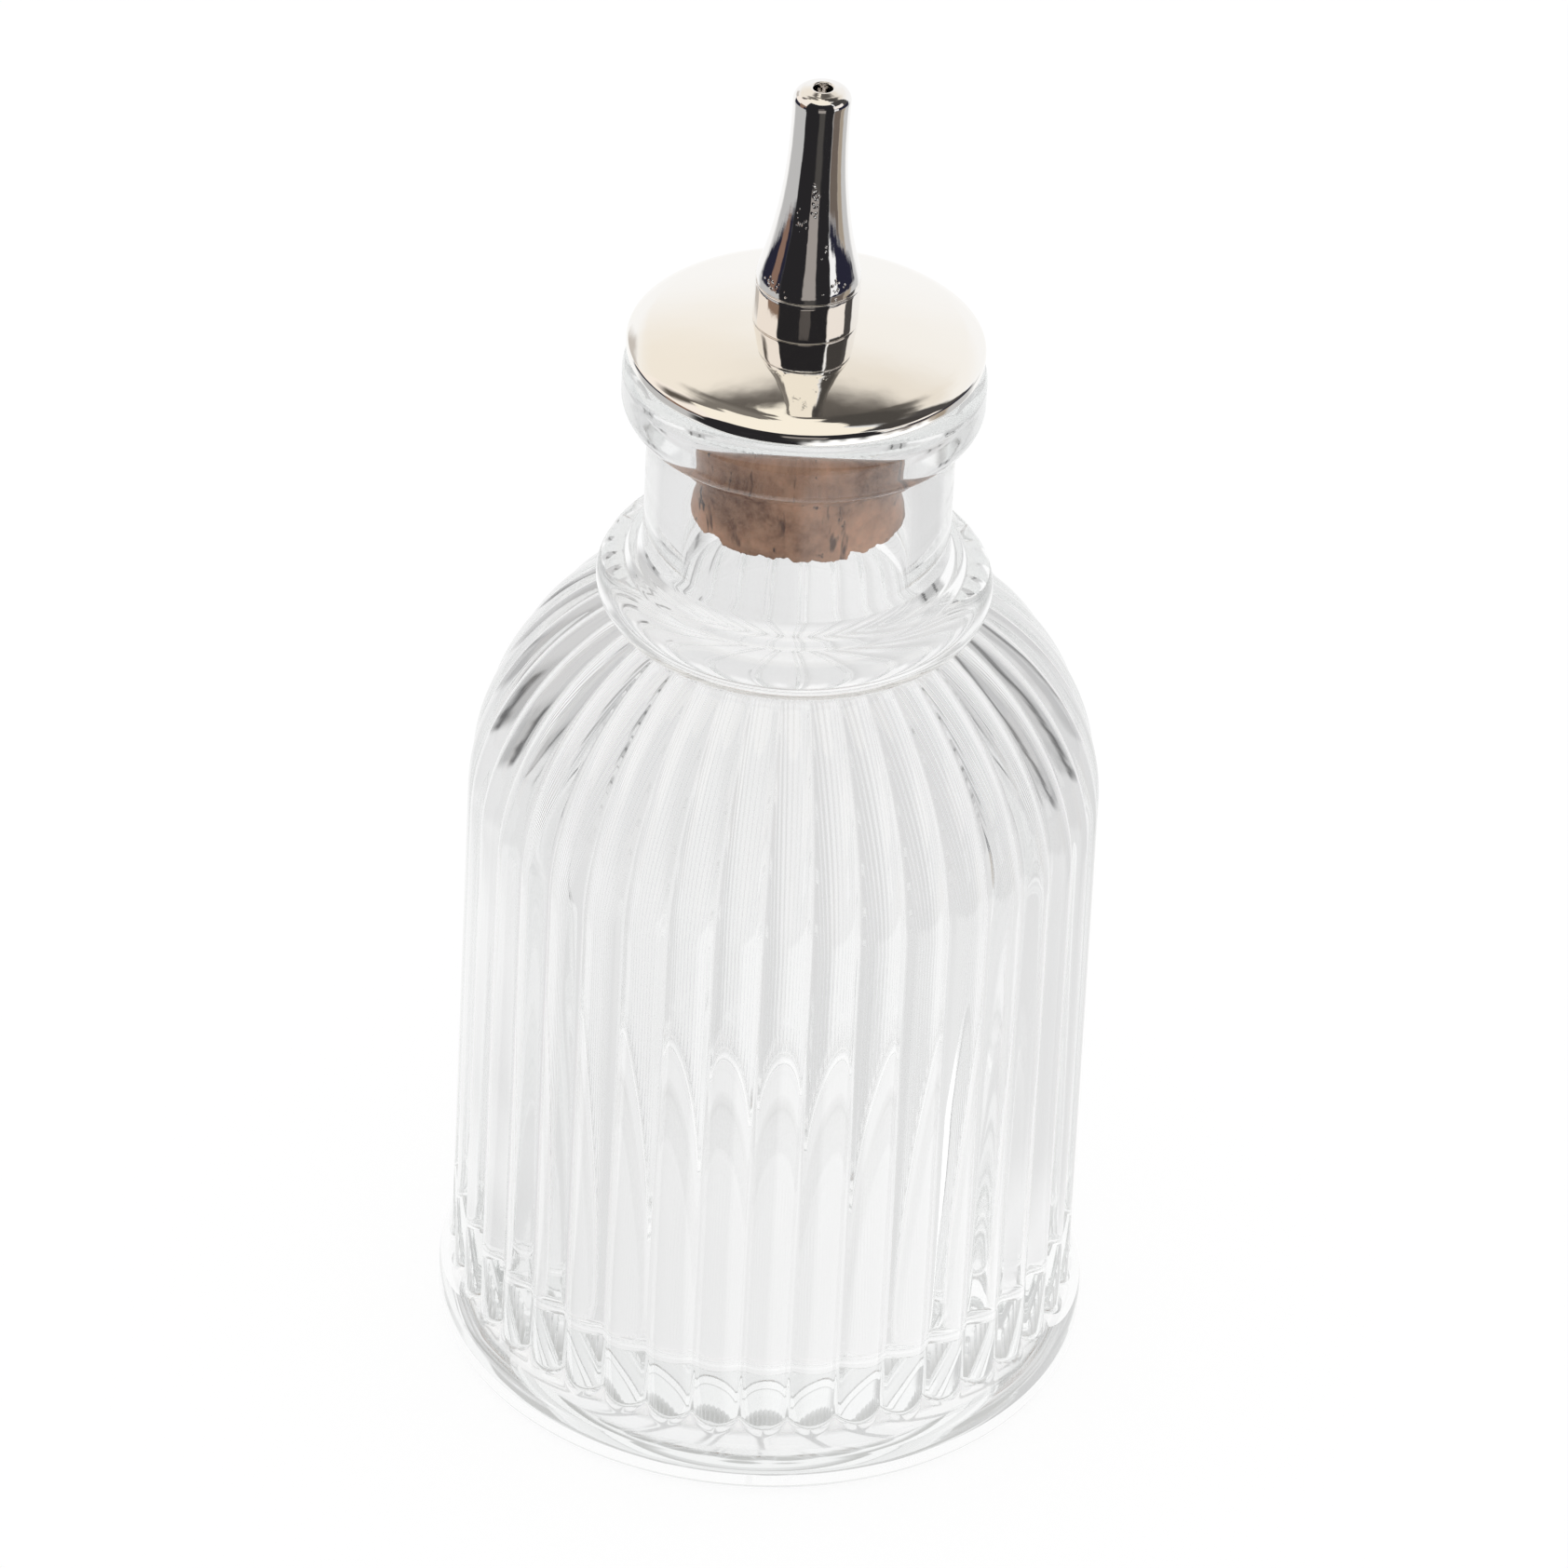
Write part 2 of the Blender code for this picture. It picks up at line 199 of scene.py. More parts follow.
class Nodes:
    """A node tree to build in."""

    def __init__(self, tree):
        self.tree = tree
        tree.nodes.clear()

    def add(self, kind, settings=None, sockets=None, output=0):
        """Makes any node: first its settings, then the values or links of its sockets."""
        node = self.tree.nodes.new(kind)
        for name, value in (settings or {}).items():
            if name == "stops":
                self.set_stops(node.color_ramp, value)
            else:
                setattr(node, name, value)
        for key, value in (sockets or {}).items():
            if isinstance(value, Field):
                self.tree.links.new(value.socket, node.inputs[key])
            else:
                node.inputs[key].default_value = value
        return Field(self, node.outputs[output]) if node.outputs else None

    def set_stops(self, ramp, stops):
        """A colour ramp's stops, as pairs of place and colour."""
        for place, colour in stops[2:]:
            ramp.elements.new(place)
        for element, (place, colour) in zip(ramp.elements, stops):
            element.position = place
            element.color = colour

    def ramp(self, value, *stops):
        """A grey ramp through these (place, level) stops."""
        levels = [(place, (level, level, level, 1)) for place, level in stops]
        return self.add("ShaderNodeValToRGB", {"stops": levels}, {0: value})

    def mix(self, share, first, second):
        """A mix of two colours."""
        settings = {"data_type": "RGBA"}
        return self.add("ShaderNodeMix", settings, {0: share, 6: first, 7: second}, output=2)

    def places(self, upright=1.0):
        """The point on the object. With upright under 1, what is made from it is stretched upward."""
        point = self.add("ShaderNodeTexCoord", output=3)
        return self.add("ShaderNodeMapping", {}, {"Vector": point, "Scale": (1, 1, upright)})

    def noise(self, places, scale, detail=3.0, roughness=0.5):
        sockets = {"Vector": places, "Scale": scale, "Detail": detail, "Roughness": roughness}
        return self.add("ShaderNodeTexNoise", {}, sockets)

    def bump(self, height, strength, distance, normal=None):
        sockets = {"Height": height, "Strength": strength, "Distance": distance}
        if normal:
            sockets["Normal"] = normal
        return self.add("ShaderNodeBump", {}, sockets)

    def blend(self, share, first, second):
        """A mix of two shaders."""
        return self.add("ShaderNodeMixShader", {}, {0: share, 1: first, 2: second})

    def finish(self, sockets, volume=None):
        """The Principled shader with these sockets, wired to the output."""
        ends = {"Surface": self.add("ShaderNodeBsdfPrincipled", {}, sockets)}
        if volume:
            ends["Volume"] = volume
        self.add("ShaderNodeOutputMaterial", {}, ends)
        print("nodes in this finish:", len(self.tree.nodes))


def new_material(name):
    """An empty material and the nodes to fill it with."""
    material = bpy.data.materials.new(name)
    material.use_nodes = True
    return material, Nodes(material.node_tree)


def dress(piece, material):
    """Gives a piece its material."""
    piece.data.materials.clear()
    piece.data.materials.append(material)
    return piece


# %% [markdown]
# Pressed glass is clear but never quite perfect. The mould leaves a faint waviness that makes straight lines
# tremble, and a thick foot shows the iron in the glass as a breath of grey-green. A bare Glass shader has
# neither. We use a Principled shader that lets all light through: the waviness is a weak bump, and the tint
# is a volume that absorbs a little light for every millimetre that it crosses.

# %% Glass
GLASS_INDEX = 1.5
GLASS_TINT = (0.80, 0.82, 0.81, 1)
GLASS_DENSITY = 6.0
WAVE_HEIGHT = 0.5 * MM

glass, nodes = new_material("pressed_glass")
mould_waves = nodes.noise(nodes.places(upright=0.5), scale=60.0, detail=1.0)
glass_tint = nodes.add("ShaderNodeVolumeAbsorption", {}, {"Color": GLASS_TINT, "Density": GLASS_DENSITY})
glass_sockets = {
    "Base Color": (1.0, 1.0, 1.0, 1),
    "Roughness": 0.02,
    "IOR": GLASS_INDEX,
    "Transmission Weight": 1.0,
    "Normal": nodes.bump(mould_waves, strength=0.10, distance=WAVE_HEIGHT),
}
nodes.finish(glass_sockets, volume=glass_tint)

# %% [markdown]
# The ribs are the heart of the bottle. In a mould each one is a shallow round flute, so across the body a
# rib is an arc, and its neighbours meet it in a narrow valley. A real valley isn't a knife cut: hot glass
# never fills a sharp corner, so the two arcs are joined with a small fillet. An array of forty cut cylinders
# would give the arcs but not the fillets, and it couldn't narrow the ribs over the shoulder. A formula does
# both, and the same kind of fillet serves where the ribs run out on the foot and dive under the collar.

# %% Ribs
RIBS = 40
RIB_DEPTH = 1.15 * MM
FRONT_RIB = radians(2.1)
STEPS_PER_RIB = 20
VALLEY_FILLET = 0.32 * MM
ARC_REACH = 1.25

columns = RIBS * STEPS_PER_RIB
glass_angles = ring_angles(columns, FRONT_RIB)
across = np.abs((np.arange(columns) / STEPS_PER_RIB + 0.5) % 1 - 0.5) * 2


def joined(first, second, fillet):
    """The outer one of two surfaces, with a small fillet where they cross."""
    near = np.clip(fillet - np.abs(first - second), 0, None) / fillet
    return np.maximum(first, second) + near**2 * fillet / 4


def rib_drop(across):
    """How far an arc has dropped, as a share of the rib's depth: 0 at the crest, 1 at the valley.
    Past the valley the arc is followed a little further, so that it can be joined to its neighbour."""
    rise = RIB_DEPTH / (pi * BODY_RADIUS / RIBS)
    reach = (1 + rise**2) / (2 * rise)
    return (reach - np.sqrt(reach**2 - np.minimum(across, ARC_REACH) ** 2)) / rise


def ribbed(crest_radius):
    """Radius at every angle for a level of the ribbed wall."""
    depth = RIB_DEPTH * crest_radius / BODY_RADIUS
    own = crest_radius - depth * rib_drop(across)
    neighbour = crest_radius - depth * rib_drop(2 - across)
    return joined(own, neighbour, VALLEY_FILLET * crest_radius / BODY_RADIUS)


print("columns:", columns, "rib pitch, mm:", round(2 * pi * BODY_RADIUS / RIBS / MM, 2))

# %% [markdown]
# The outside of the wall is built level by level, from the foot's side to the collar. It could be three
# shapes and two booleans, but booleans leave ragged faces that clear glass shows at once. Instead we ask at
# each height how far out the ribs reach, how far the rounded top of the foot and how far the collar, and
# join them in the same way as the ribs. The levels are close together where the shape turns quickly.

# %% Outer wall
BODY_TAPER = 0.4 * MM
SHOULDER_RISE = 24.6 * MM
SHOULDER_CURL = 1.42
SHOULDER_TURN = 68
FOOT_ROUND = 4.0 * MM
FOOT_FILLET = 0.5 * MM
FOOT_BLEND = 0.6 * MM
COLLAR_FILLET = 0.7 * MM
CLOSE_LEVELS = 34
STRAIGHT_LEVELS = 24
SHOULDER_LEVELS = 44
FOOT_TOP_CENTRE = (FOOT_RADIUS - FOOT_ROUND, FOOT_SIDE_TOP)


def crest_at(height):
    """The crest radius of the ribbed wall at a height."""
    if height <= SHOULDER_HEIGHT:
        share = max(0.0, (height - FOOT_SIDE_TOP) / (SHOULDER_HEIGHT - FOOT_SIDE_TOP))
        return BODY_RADIUS - BODY_TAPER * share
    turn = asin(min(1.0, (height - SHOULDER_HEIGHT) / SHOULDER_RISE))
    return NECK_RADIUS + (BODY_RADIUS - BODY_TAPER - NECK_RADIUS) * cos(turn) ** SHOULDER_CURL


def reach_of(centre, round_radius, height):
    """How far out a rounded ring reaches at a height, or nothing there."""
    rest = round_radius**2 - (height - centre[1]) ** 2
    return centre[0] + sqrt(rest) if rest > 0 else 0.0


def wall_levels():
    """The heights of the wall's rows."""
    foot = np.linspace(FOOT_SIDE_TOP, FOOT_SIDE_TOP + FOOT_ROUND + FOOT_BLEND, CLOSE_LEVELS)
    straight = np.linspace(foot[-1], SHOULDER_HEIGHT, STRAIGHT_LEVELS)
    turns = np.radians(np.linspace(0, SHOULDER_TURN, SHOULDER_LEVELS))
    shoulder = SHOULDER_HEIGHT + SHOULDER_RISE * np.sin(turns)
    under_collar = np.linspace(shoulder[-1], COLLAR_HEIGHT, CLOSE_LEVELS)
    return np.concatenate([foot, straight[1:], shoulder[1:], under_collar[1:]])


def wall_row(height):
    """Radius at every angle for one height of the wall."""
    ribs_end = SHOULDER_HEIGHT + SHOULDER_RISE
    row = ribbed(crest_at(height)) if height < ribs_end else np.zeros(columns)
    foot = reach_of(FOOT_TOP_CENTRE, FOOT_ROUND, height)
    collar = reach_of(COLLAR_CENTRE, COLLAR_ROUND, height)
    if foot:
        row = joined(row, foot, FOOT_FILLET)
    if collar:
        row = joined(row, collar, COLLAR_FILLET)
    return row


levels = wall_levels()
wall = np.array([wall_row(height) for height in levels])
wall_heights = np.repeat(levels[:, None], columns, 1)
print("wall, mm: narrowest", round(wall.min() / MM, 2), "widest", round(wall.max() / MM, 2))

# %% [markdown]
# The foot is the part of the bottle that touches the table. It doesn't stand on its whole underside, because
# pressed glass is never flat enough: a shallow dome, the punt, is pushed up into it, and the bottle rests on
# the narrow ring that is left. All of it is plain turned glass, so the profile is drawn once.

# %% Foot
FOOT_EDGE = 2.0 * MM
REST_RING = 4.2 * MM
PUNT_RISE = 2.2 * MM
PUNT_ROWS = 18
PUNT_EDGE = 0.5 * MM
PUNT_EDGE_RISE = 0.04 * MM


def foot_profile():
    ring_outside = FOOT_RADIUS - FOOT_EDGE
    ring_inside = ring_outside - REST_RING
    punt = (ring_inside**2 + PUNT_RISE**2) / (2 * PUNT_RISE)
    points = []
    for share in np.linspace(0, 1, PUNT_ROWS):
        radius = (ring_inside - PUNT_EDGE) * share
        points.append((radius, PUNT_RISE - punt + sqrt(punt**2 - radius**2)))
    points += [(ring_inside, PUNT_EDGE_RISE), (ring_inside + PUNT_EDGE, 0.0)]
    points += arc((ring_outside, FOOT_EDGE), FOOT_EDGE, -90, 0, steps=14)
    return points + line(points[-1], (FOOT_RADIUS, FOOT_SIDE_TOP), steps=3)[:-1]


foot, foot_heights = grids(foot_profile(), columns)
print("foot rows:", len(foot))

# %% [markdown]
# Above the wall come the collar, the plain neck and the heavy lip. The collar closes off the ribs, and the
# lip keeps the mouth from chipping. Few points and a Subdivision modifier would round them, but would also
# move their edges. So their roundings are arcs with many steps, because a lip is a lens: every flat face on
# it would show as a bright speck.

# %% Collar, neck and lip
COLLAR_DISH = 0.9 * MM
NECK_FILLET = 1.2 * MM
LIP_RADIUS = 17.8 * MM
LIP_BAND = 2.2 * MM
LIP_ROUND = 2.1 * MM
ROUND_STEPS = 40


def neck_profile():
    lip_corner = BOTTLE_HEIGHT - LIP_ROUND
    band_low = lip_corner - LIP_BAND
    overhang = LIP_RADIUS - NECK_RADIUS
    collar_top = COLLAR_HEIGHT + COLLAR_ROUND
    fillet_height = collar_top + COLLAR_DISH + NECK_FILLET
    mouth_centre = (MOUTH_RADIUS + MOUTH_EDGE, BOTTLE_HEIGHT - MOUTH_EDGE)
    points = arc(COLLAR_CENTRE, COLLAR_ROUND, 0, 90, ROUND_STEPS)[1:]
    points += line(points[-1], (NECK_RADIUS + NECK_FILLET, fillet_height - NECK_FILLET), steps=3)[:-1]
    points += arc((NECK_RADIUS + NECK_FILLET, fillet_height), NECK_FILLET, 270, 180, steps=10)
    points += line(points[-1], (NECK_RADIUS, band_low - overhang), steps=14)[:-1]
    points += arc((NECK_RADIUS, band_low), overhang, -90, 0, ROUND_STEPS)
    points += line(points[-1], (LIP_RADIUS, lip_corner), steps=4)[:-1]
    points += arc((LIP_RADIUS - LIP_ROUND, lip_corner), LIP_ROUND, 0, 90, ROUND_STEPS)
    return points + arc(mouth_centre, MOUTH_EDGE, 90, 180, steps=8)


neck, neck_heights = grids(neck_profile(), columns)
print("collar, neck and lip rows:", len(neck))

# %% [markdown]
# The inside is a smooth hollow with a mouth bored to a taper for the cork. A Solidify modifier would copy
# the ribs to the inside, which a pressed bottle doesn't have. So the hollow has its own profile. Its floor is
# thick, because that is where the glass gathers.

# %% Hollow
INNER_RADIUS = 28.5 * MM
INNER_FLOOR = 11.5 * MM
INNER_CORNER = 3.5 * MM
INNER_SHOULDER_RISE = 25.0 * MM
INNER_SHOULDER_CURL = 1.7
INNER_SHOULDER_ROWS = 72
THROAT_RADIUS = 11.3 * MM
THROAT_FILLET = 5.0 * MM
MOUTH_DEPTH = 10.68 * MM


def inner_radius_at(height):
    """Radius of the hollow where the shoulder turns into the throat."""
    turn = asin(min(1.0, (height - SHOULDER_HEIGHT) / INNER_SHOULDER_RISE))
    shoulder = THROAT_RADIUS + (INNER_RADIUS - THROAT_RADIUS) * cos(turn) ** INNER_SHOULDER_CURL
    over = max(0.0, height - SHOULDER_HEIGHT - INNER_SHOULDER_RISE)
    return float(joined(THROAT_RADIUS, shoulder - over, THROAT_FILLET))


def hollow_profile():
    shoulder_top = INNER_SHOULDER_RISE + THROAT_FILLET
    throat_top = (THROAT_RADIUS, BOTTLE_HEIGHT - MOUTH_DEPTH)
    throat_end = (THROAT_RADIUS, SHOULDER_HEIGHT + INNER_SHOULDER_RISE + THROAT_FILLET)
    corner_centre = (INNER_RADIUS - INNER_CORNER, INNER_FLOOR + INNER_CORNER)
    points = line((MOUTH_RADIUS, BOTTLE_HEIGHT - MOUTH_EDGE), throat_top, steps=6)
    points += line(points[-1], throat_end, steps=6)[:-1]
    for height in SHOULDER_HEIGHT + np.linspace(shoulder_top, 0, INNER_SHOULDER_ROWS):
        points.append((inner_radius_at(height), height))
    points += line(points[-1], (INNER_RADIUS, INNER_FLOOR + INNER_CORNER), steps=24)[:-1]
    points += arc(corner_centre, INNER_CORNER, 0, -90, steps=14)
    return points + line(points[-1], (0.0, INNER_FLOOR), steps=12)


hollow = hollow_profile()
radius, height = np.array(hollow).T
slices = pi * (radius[1:] ** 2 + radius[:-1] ** 2) / 2 * -np.diff(height)
print("the bottle holds, ml:", round(slices.sum() / MM**3 / 1000))

# %% [markdown]
# The gob of hot glass is never perfectly even, so the inner wall swells and thins by about a tenth of a
# millimetre round the bottle. We could leave that out, but then the ribs would look ruled. A few slow waves
# are enough, and they fade out at the shoulder, well below the cork.

# %% Uneven inner wall
INNER_WOBBLE = 0.10 * MM
WOBBLE_END = 8 * MM
WOBBLE_FADE = 30 * MM
WOBBLE_SKIN = 2 * MM
INNER_WAVES = [(0.5, 3, 1.3, 0), (0.3, 7, 4.0, 60), (0.2, 13, 2.0, -110)]


def uneven(radii, heights):
    """Moves the hollow's wall inward by up to twice the wobble, and leaves floor and throat alone.
    Each wave has a share, a count round the bottle, a start, and a climb in radians for each metre."""
    free = np.clip((SHOULDER_HEIGHT + WOBBLE_END - heights) / WOBBLE_FADE, 0, 1)
    waves = sum(
        share * np.sin(count * glass_angles + start + heights * climb)
        for share, count, start, climb in INNER_WAVES
    )
    wall_part = radii > INNER_RADIUS - WOBBLE_SKIN
    return radii + INNER_WOBBLE * waves * free * wall_part - INNER_WOBBLE * free * wall_part


even_inside, inside_heights = grids(hollow, columns)
inside = uneven(even_inside, inside_heights)
print("deepest wave, mm:", round((even_inside - inside).max() / MM, 3))

# %% [markdown]
# Now the four stretches are stacked, from the middle of the punt, up the outside, over the lip and down the
# inside to the middle of the floor. One closed skin is what the render engine needs to bend light through
# glass: a gap, or a second skin inside it, would show as a dark or silvery patch.

# %% Whole bottle
radii = np.vstack([foot, wall, neck, inside])
heights = np.vstack([foot_heights, wall_heights, neck_heights, inside_heights])
bottle_glass = dress(swept("ribbed_glass", radii, heights, glass_angles), glass)
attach(bottle_glass, "bottle")
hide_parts("glass_bottle")
print("glass faces:", len(bottle_glass.data.polygons))

# %% [markdown]
# Five pieces make up the stopper: cork, cap, band, nozzle and stem. They come out of the neck together, so
# they all ride on one body. One helper does for each of them what we just did by hand for the glass.

# %% Helper for the stopper's pieces


def stopper_piece(piece, material, node):
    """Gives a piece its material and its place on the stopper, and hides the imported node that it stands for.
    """
    dress(piece, material)
    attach(piece, "stopper")
    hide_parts(node)
    print(piece.name, "faces:", len(piece.data.polygons))


# %% [markdown]
# The cork was punched from bark with a dull tool, and then pulled out and pushed back many times. Its side is
# nearly a plain cone, but its lower edge has lost crumbs all the way round and one larger chip near the
# front, and on both sides it is worn off at a slant. Sculpting would do it, but is hard to change later. So
# the edge is the one place where the profile changes with the angle: noise eats the corner away.

# %% Chips in the cork's edge
CRUMB_DEPTH = 0.75 * MM
COARSE_CRUMBS = (5.0, 3.1)
SMALL_CRUMBS = (19.0, 7.7)
DUST = (44.0, 2.2)
SMALL_CRUMB_SHARE = 0.35
DUST_SHARE = 0.16
CRUMB_GAIN = 1.3
CHIP_ANGLE = radians(28)
CHIP_WIDTH = radians(7)
CHIP_DEPTH = 1.2 * MM
CHIP_STEEPNESS = 4
WORN_WIDTH = radians(62)
WORN_DEPTH = 2.0 * MM
WORN_END = 3
WORN_LEFT_START = radians(58)
WORN_LEFT_DEPTH = 1.3 * MM

CORK_COLUMNS = 480
cork_angles = ring_angles(CORK_COLUMNS)


def ring_noise(angles, frequency, seed):
    """Noise that runs once round the axis and meets itself, from -1 to 1."""
    return np.array([noise.noise(Vector((cos(a) * frequency, sin(a) * frequency, seed))) for a in angles])


def cork_chips():
    """How far the lower edge has been eaten away at every angle."""
    coarse = ring_noise(cork_angles, *COARSE_CRUMBS)
    crumbs = np.clip(coarse + SMALL_CRUMB_SHARE * ring_noise(cork_angles, *SMALL_CRUMBS), 0, 1)
    fine = DUST_SHARE * (1 + ring_noise(cork_angles, *DUST))
    away = (cork_angles + pi / 2 - CHIP_ANGLE + pi) % (2 * pi) - pi
    notch = np.clip(1 - np.where(away < 0, -away * CHIP_STEEPNESS, away) / CHIP_WIDTH, 0, 1)
    worn = np.clip(away / WORN_WIDTH, 0, 1) * np.clip(WORN_END - away / WORN_WIDTH, 0, 1)
    worn_left = np.clip((-away - WORN_LEFT_START) / WORN_WIDTH, 0, 1) * (away < 0)
    left_slant = WORN_LEFT_DEPTH * worn_left * np.clip(WORN_END + away / WORN_WIDTH, 0, 1)
    slants = WORN_DEPTH * worn + left_slant
    return CRUMB_DEPTH * (crumbs * CRUMB_GAIN + fine) + CHIP_DEPTH * notch + slants


chips = cork_chips()
print("cork edge eaten away, mm: least", round(chips.min() / MM, 2), "most", round(chips.max() / MM, 2))

# %% [markdown]
# The cork's body is a tapered plug with a bore for the stem. Where the chips have eaten the edge, rows of its
# side are lifted to the broken edge and drawn in a little, and a faint grain keeps the cone from looking
# turned. The first rows of the underside follow the chips too, and flatten out towards the bore.

# %% Shape of the cork
CORK_TOP = 114.98 * MM
CORK_BOTTOM = 98.5 * MM
CORK_TOP_RADIUS = 12.1 * MM
CORK_END_RADIUS = 10.4 * MM
CORK_BORE = 3.9 * MM
CORK_EDGE = 0.5 * MM
CORK_EDGE_ROUND = 0.15 * MM
CORK_EDGE_CORNER = (CORK_TOP_RADIUS - CORK_EDGE_ROUND, CORK_TOP - CORK_EDGE_ROUND)
CHIPPED_ROWS = 4
CHIP_INSET = 0.25 * MM
CHIP_FADE = 0.4 * MM
GRAIN_DEPTH = 0.05 * MM
GRAIN_FREQUENCY = 9.0
GRAIN_SEED = 40
GRAIN_CLIMB = 300


def cork_mesh():
    profile = [(CORK_TOP_RADIUS - CORK_EDGE, CORK_TOP), CORK_EDGE_CORNER]
    profile += [(CORK_TOP_RADIUS, CORK_TOP - CORK_EDGE)]
    profile += line(profile[-1], (CORK_END_RADIUS, CORK_BOTTOM), steps=60)
    edge_row = len(profile) - 1
    profile += line(profile[-1], (CORK_BORE, CORK_BOTTOM), steps=10)
    profile += line(profile[-1], (CORK_BORE, CORK_TOP), steps=6)
    radii, heights = grids(profile, CORK_COLUMNS)
    broken_edge = CORK_BOTTOM + chips
    for row in range(edge_row + 1):
        low = np.clip((broken_edge - heights[row]) / CHIP_FADE, 0, 1)
        heights[row] = np.maximum(heights[row], broken_edge)
        radii[row] -= CHIP_INSET * low
        seed = GRAIN_SEED + heights[row].mean() * GRAIN_CLIMB
        radii[row] += GRAIN_DEPTH * (ring_noise(cork_angles, GRAIN_FREQUENCY, seed) - 1)
    for row in range(edge_row + 1, edge_row + CHIPPED_ROWS):
        heights[row] += chips * (1 - (row - edge_row) / CHIPPED_ROWS) ** 2
    return swept("bottle_cork", radii, heights, cork_angles, closed=True)


bottle_cork = cork_mesh()
print("cork length, mm:", round(bottle_cork.dimensions.z / MM, 2))

# %% [markdown]
# Cork is a tree's bark. It is a warm brown that changes in patches, it has dark upright pores where the bark
# breathed, and fine cracks. A picture of cork would need unwrapping and would repeat. Noise in space does
# not, and stretching it upward gives pores and cracks their length.

# %% Look of the cork
DARK_BARK = (0.23, 0.098, 0.052, 1)
LIGHT_BARK = (0.90, 0.49, 0.305, 1)
BARK_FLECKS = (0.80, 0.49, 0.32, 1)
PORE_BROWN = (0.085, 0.038, 0.022, 1)
CRACK_BROWN = (0.17, 0.078, 0.045, 1)
BARK_RELIEF = 0.25 * MM

cork, nodes = new_material("natural_cork")


def bark(upright, scale, detail, roughness, low, high):
    """A mask that goes from 0 to 1 between two levels of upright noise."""
    grain = nodes.noise(nodes.places(upright), scale, detail, roughness)
    return nodes.ramp(grain, (low, 0.0), (high, 1.0))


patches = bark(upright=0.7, scale=170.0, detail=5.0, roughness=0.6, low=0.38, high=0.62)
speckle = bark(upright=0.8, scale=1100.0, detail=4.0, roughness=0.7, low=0.36, high=0.64)
pores = bark(upright=0.55, scale=800.0, detail=3.0, roughness=0.6, low=0.29, high=0.36)
cracks = bark(upright=0.16, scale=640.0, detail=3.0, roughness=0.6, low=0.30, high=0.37)
warm = nodes.mix(patches, DARK_BARK, LIGHT_BARK)
speckled = nodes.mix(speckle * 0.45, warm, BARK_FLECKS)
pored = nodes.mix(pores, PORE_BROWN, speckled)
cracked = nodes.mix(cracks, CRACK_BROWN, pored)
cork_height = pores * 0.6 + speckle * 0.25 + cracks * 0.4
cork_skin = nodes.bump(cork_height, strength=0.7, distance=BARK_RELIEF)
nodes.finish({"Base Color": cracked, "Roughness": 0.9, "Normal": cork_skin})

stopper_piece(bottle_cork, cork, "cork_stopper")

# %% [markdown]
# The metal top is brass with a bright warm plating. It was turned on a lathe, polished by hand and then
# dipped, and the plating has run a little. A perfect mirror would look like a computer's. So fine scuffs
# roughen the metal here and there, and two weak bumps, the runs over the scuffs, make its reflections
# tremble. The cap is the smoother piece. The nozzle and its band show their runs plainly.

# %% Look of the metal
SCUFF_LOW = 0.35
SCUFF_HIGH = 0.75


def plated(name, colour, roughness, scuff_scale, scuff_bump, upright, runs, run_bump):
    """Polished plating. Its roughness goes between two levels as the scuffs come and go.
    A bump is given by its strength and its distance."""
    material, nodes = new_material(name)
    scuff_noise = nodes.noise(nodes.places(), scuff_scale)
    run_noise = nodes.noise(nodes.places(upright), **runs)
    scuffed = nodes.bump(scuff_noise, *scuff_bump)
    sockets = {
        "Base Color": colour,
        "Metallic": 1.0,
        "Roughness": nodes.ramp(scuff_noise, (SCUFF_LOW, roughness[0]), (SCUFF_HIGH, roughness[1])),
        "Normal": nodes.bump(run_noise, *run_bump, normal=scuffed),
    }
    nodes.finish(sockets)
    return material


metal = plated(
    "plated_metal",
    colour=(0.93, 0.91, 0.88, 1),
    roughness=(0.025, 0.06),
    scuff_scale=700.0,
    scuff_bump=(0.02, 0.1 * MM),
    upright=0.4,
    runs={"scale": 260.0, "detail": 2.0},
    run_bump=(0.10, 0.2 * MM),
)
dipped_metal = plated(
    "dipped_metal",
    colour=(0.90, 0.885, 0.87, 1),
    roughness=(0.02, 0.07),
    scuff_scale=900.0,
    scuff_bump=(0.10, 0.05 * MM),
    upright=0.35,
    runs={"scale": 420.0, "roughness": 0.55},
    run_bump=(0.7, 0.05 * MM),
)

# %% [markdown]
# The cap is a shallow sphere that bends down to a small rounded edge, flat underneath where it sits on the
# lip. A UV sphere with a flattened end would waste its rows on the dome. The bend is where the reflections
# crowd together, so our profile sets its rows much closer there. The sphere, the bend and the edge are worked
# out from one another, so that each arc starts where the last one ends.

# %% Cap
CAP_RADIUS = 17.5 * MM
CAP_DOME_RADIUS = 68.0 * MM
CAP_UNDERSIDE = 115.3 * MM
CAP_BEND_RADIUS = 5.0 * MM
CAP_BEND_SLOPE = 38
CAP_EDGE_CENTRE = (16.95 * MM, 116.35 * MM)
CAP_EDGE_ROUND = 0.55 * MM
CAP_LOWER_ROUND = 0.6 * MM
CAP_DOME_ROWS = 40
CAP_COLUMNS = 256
STEM_HOLE = 3.4 * MM

cap_edge_turn = radians(90 - CAP_BEND_SLOPE)
cap_bend_reach = CAP_BEND_RADIUS - CAP_EDGE_ROUND
cap_bend_centre = (
    CAP_EDGE_CENTRE[0] - cap_bend_reach * cos(cap_edge_turn),
    CAP_EDGE_CENTRE[1] - cap_bend_reach * sin(cap_edge_turn),
)
cap_reach = CAP_DOME_RADIUS - CAP_BEND_RADIUS
cap_sphere_centre = cap_bend_centre[1] - sqrt(cap_reach**2 - cap_bend_centre[0] ** 2)


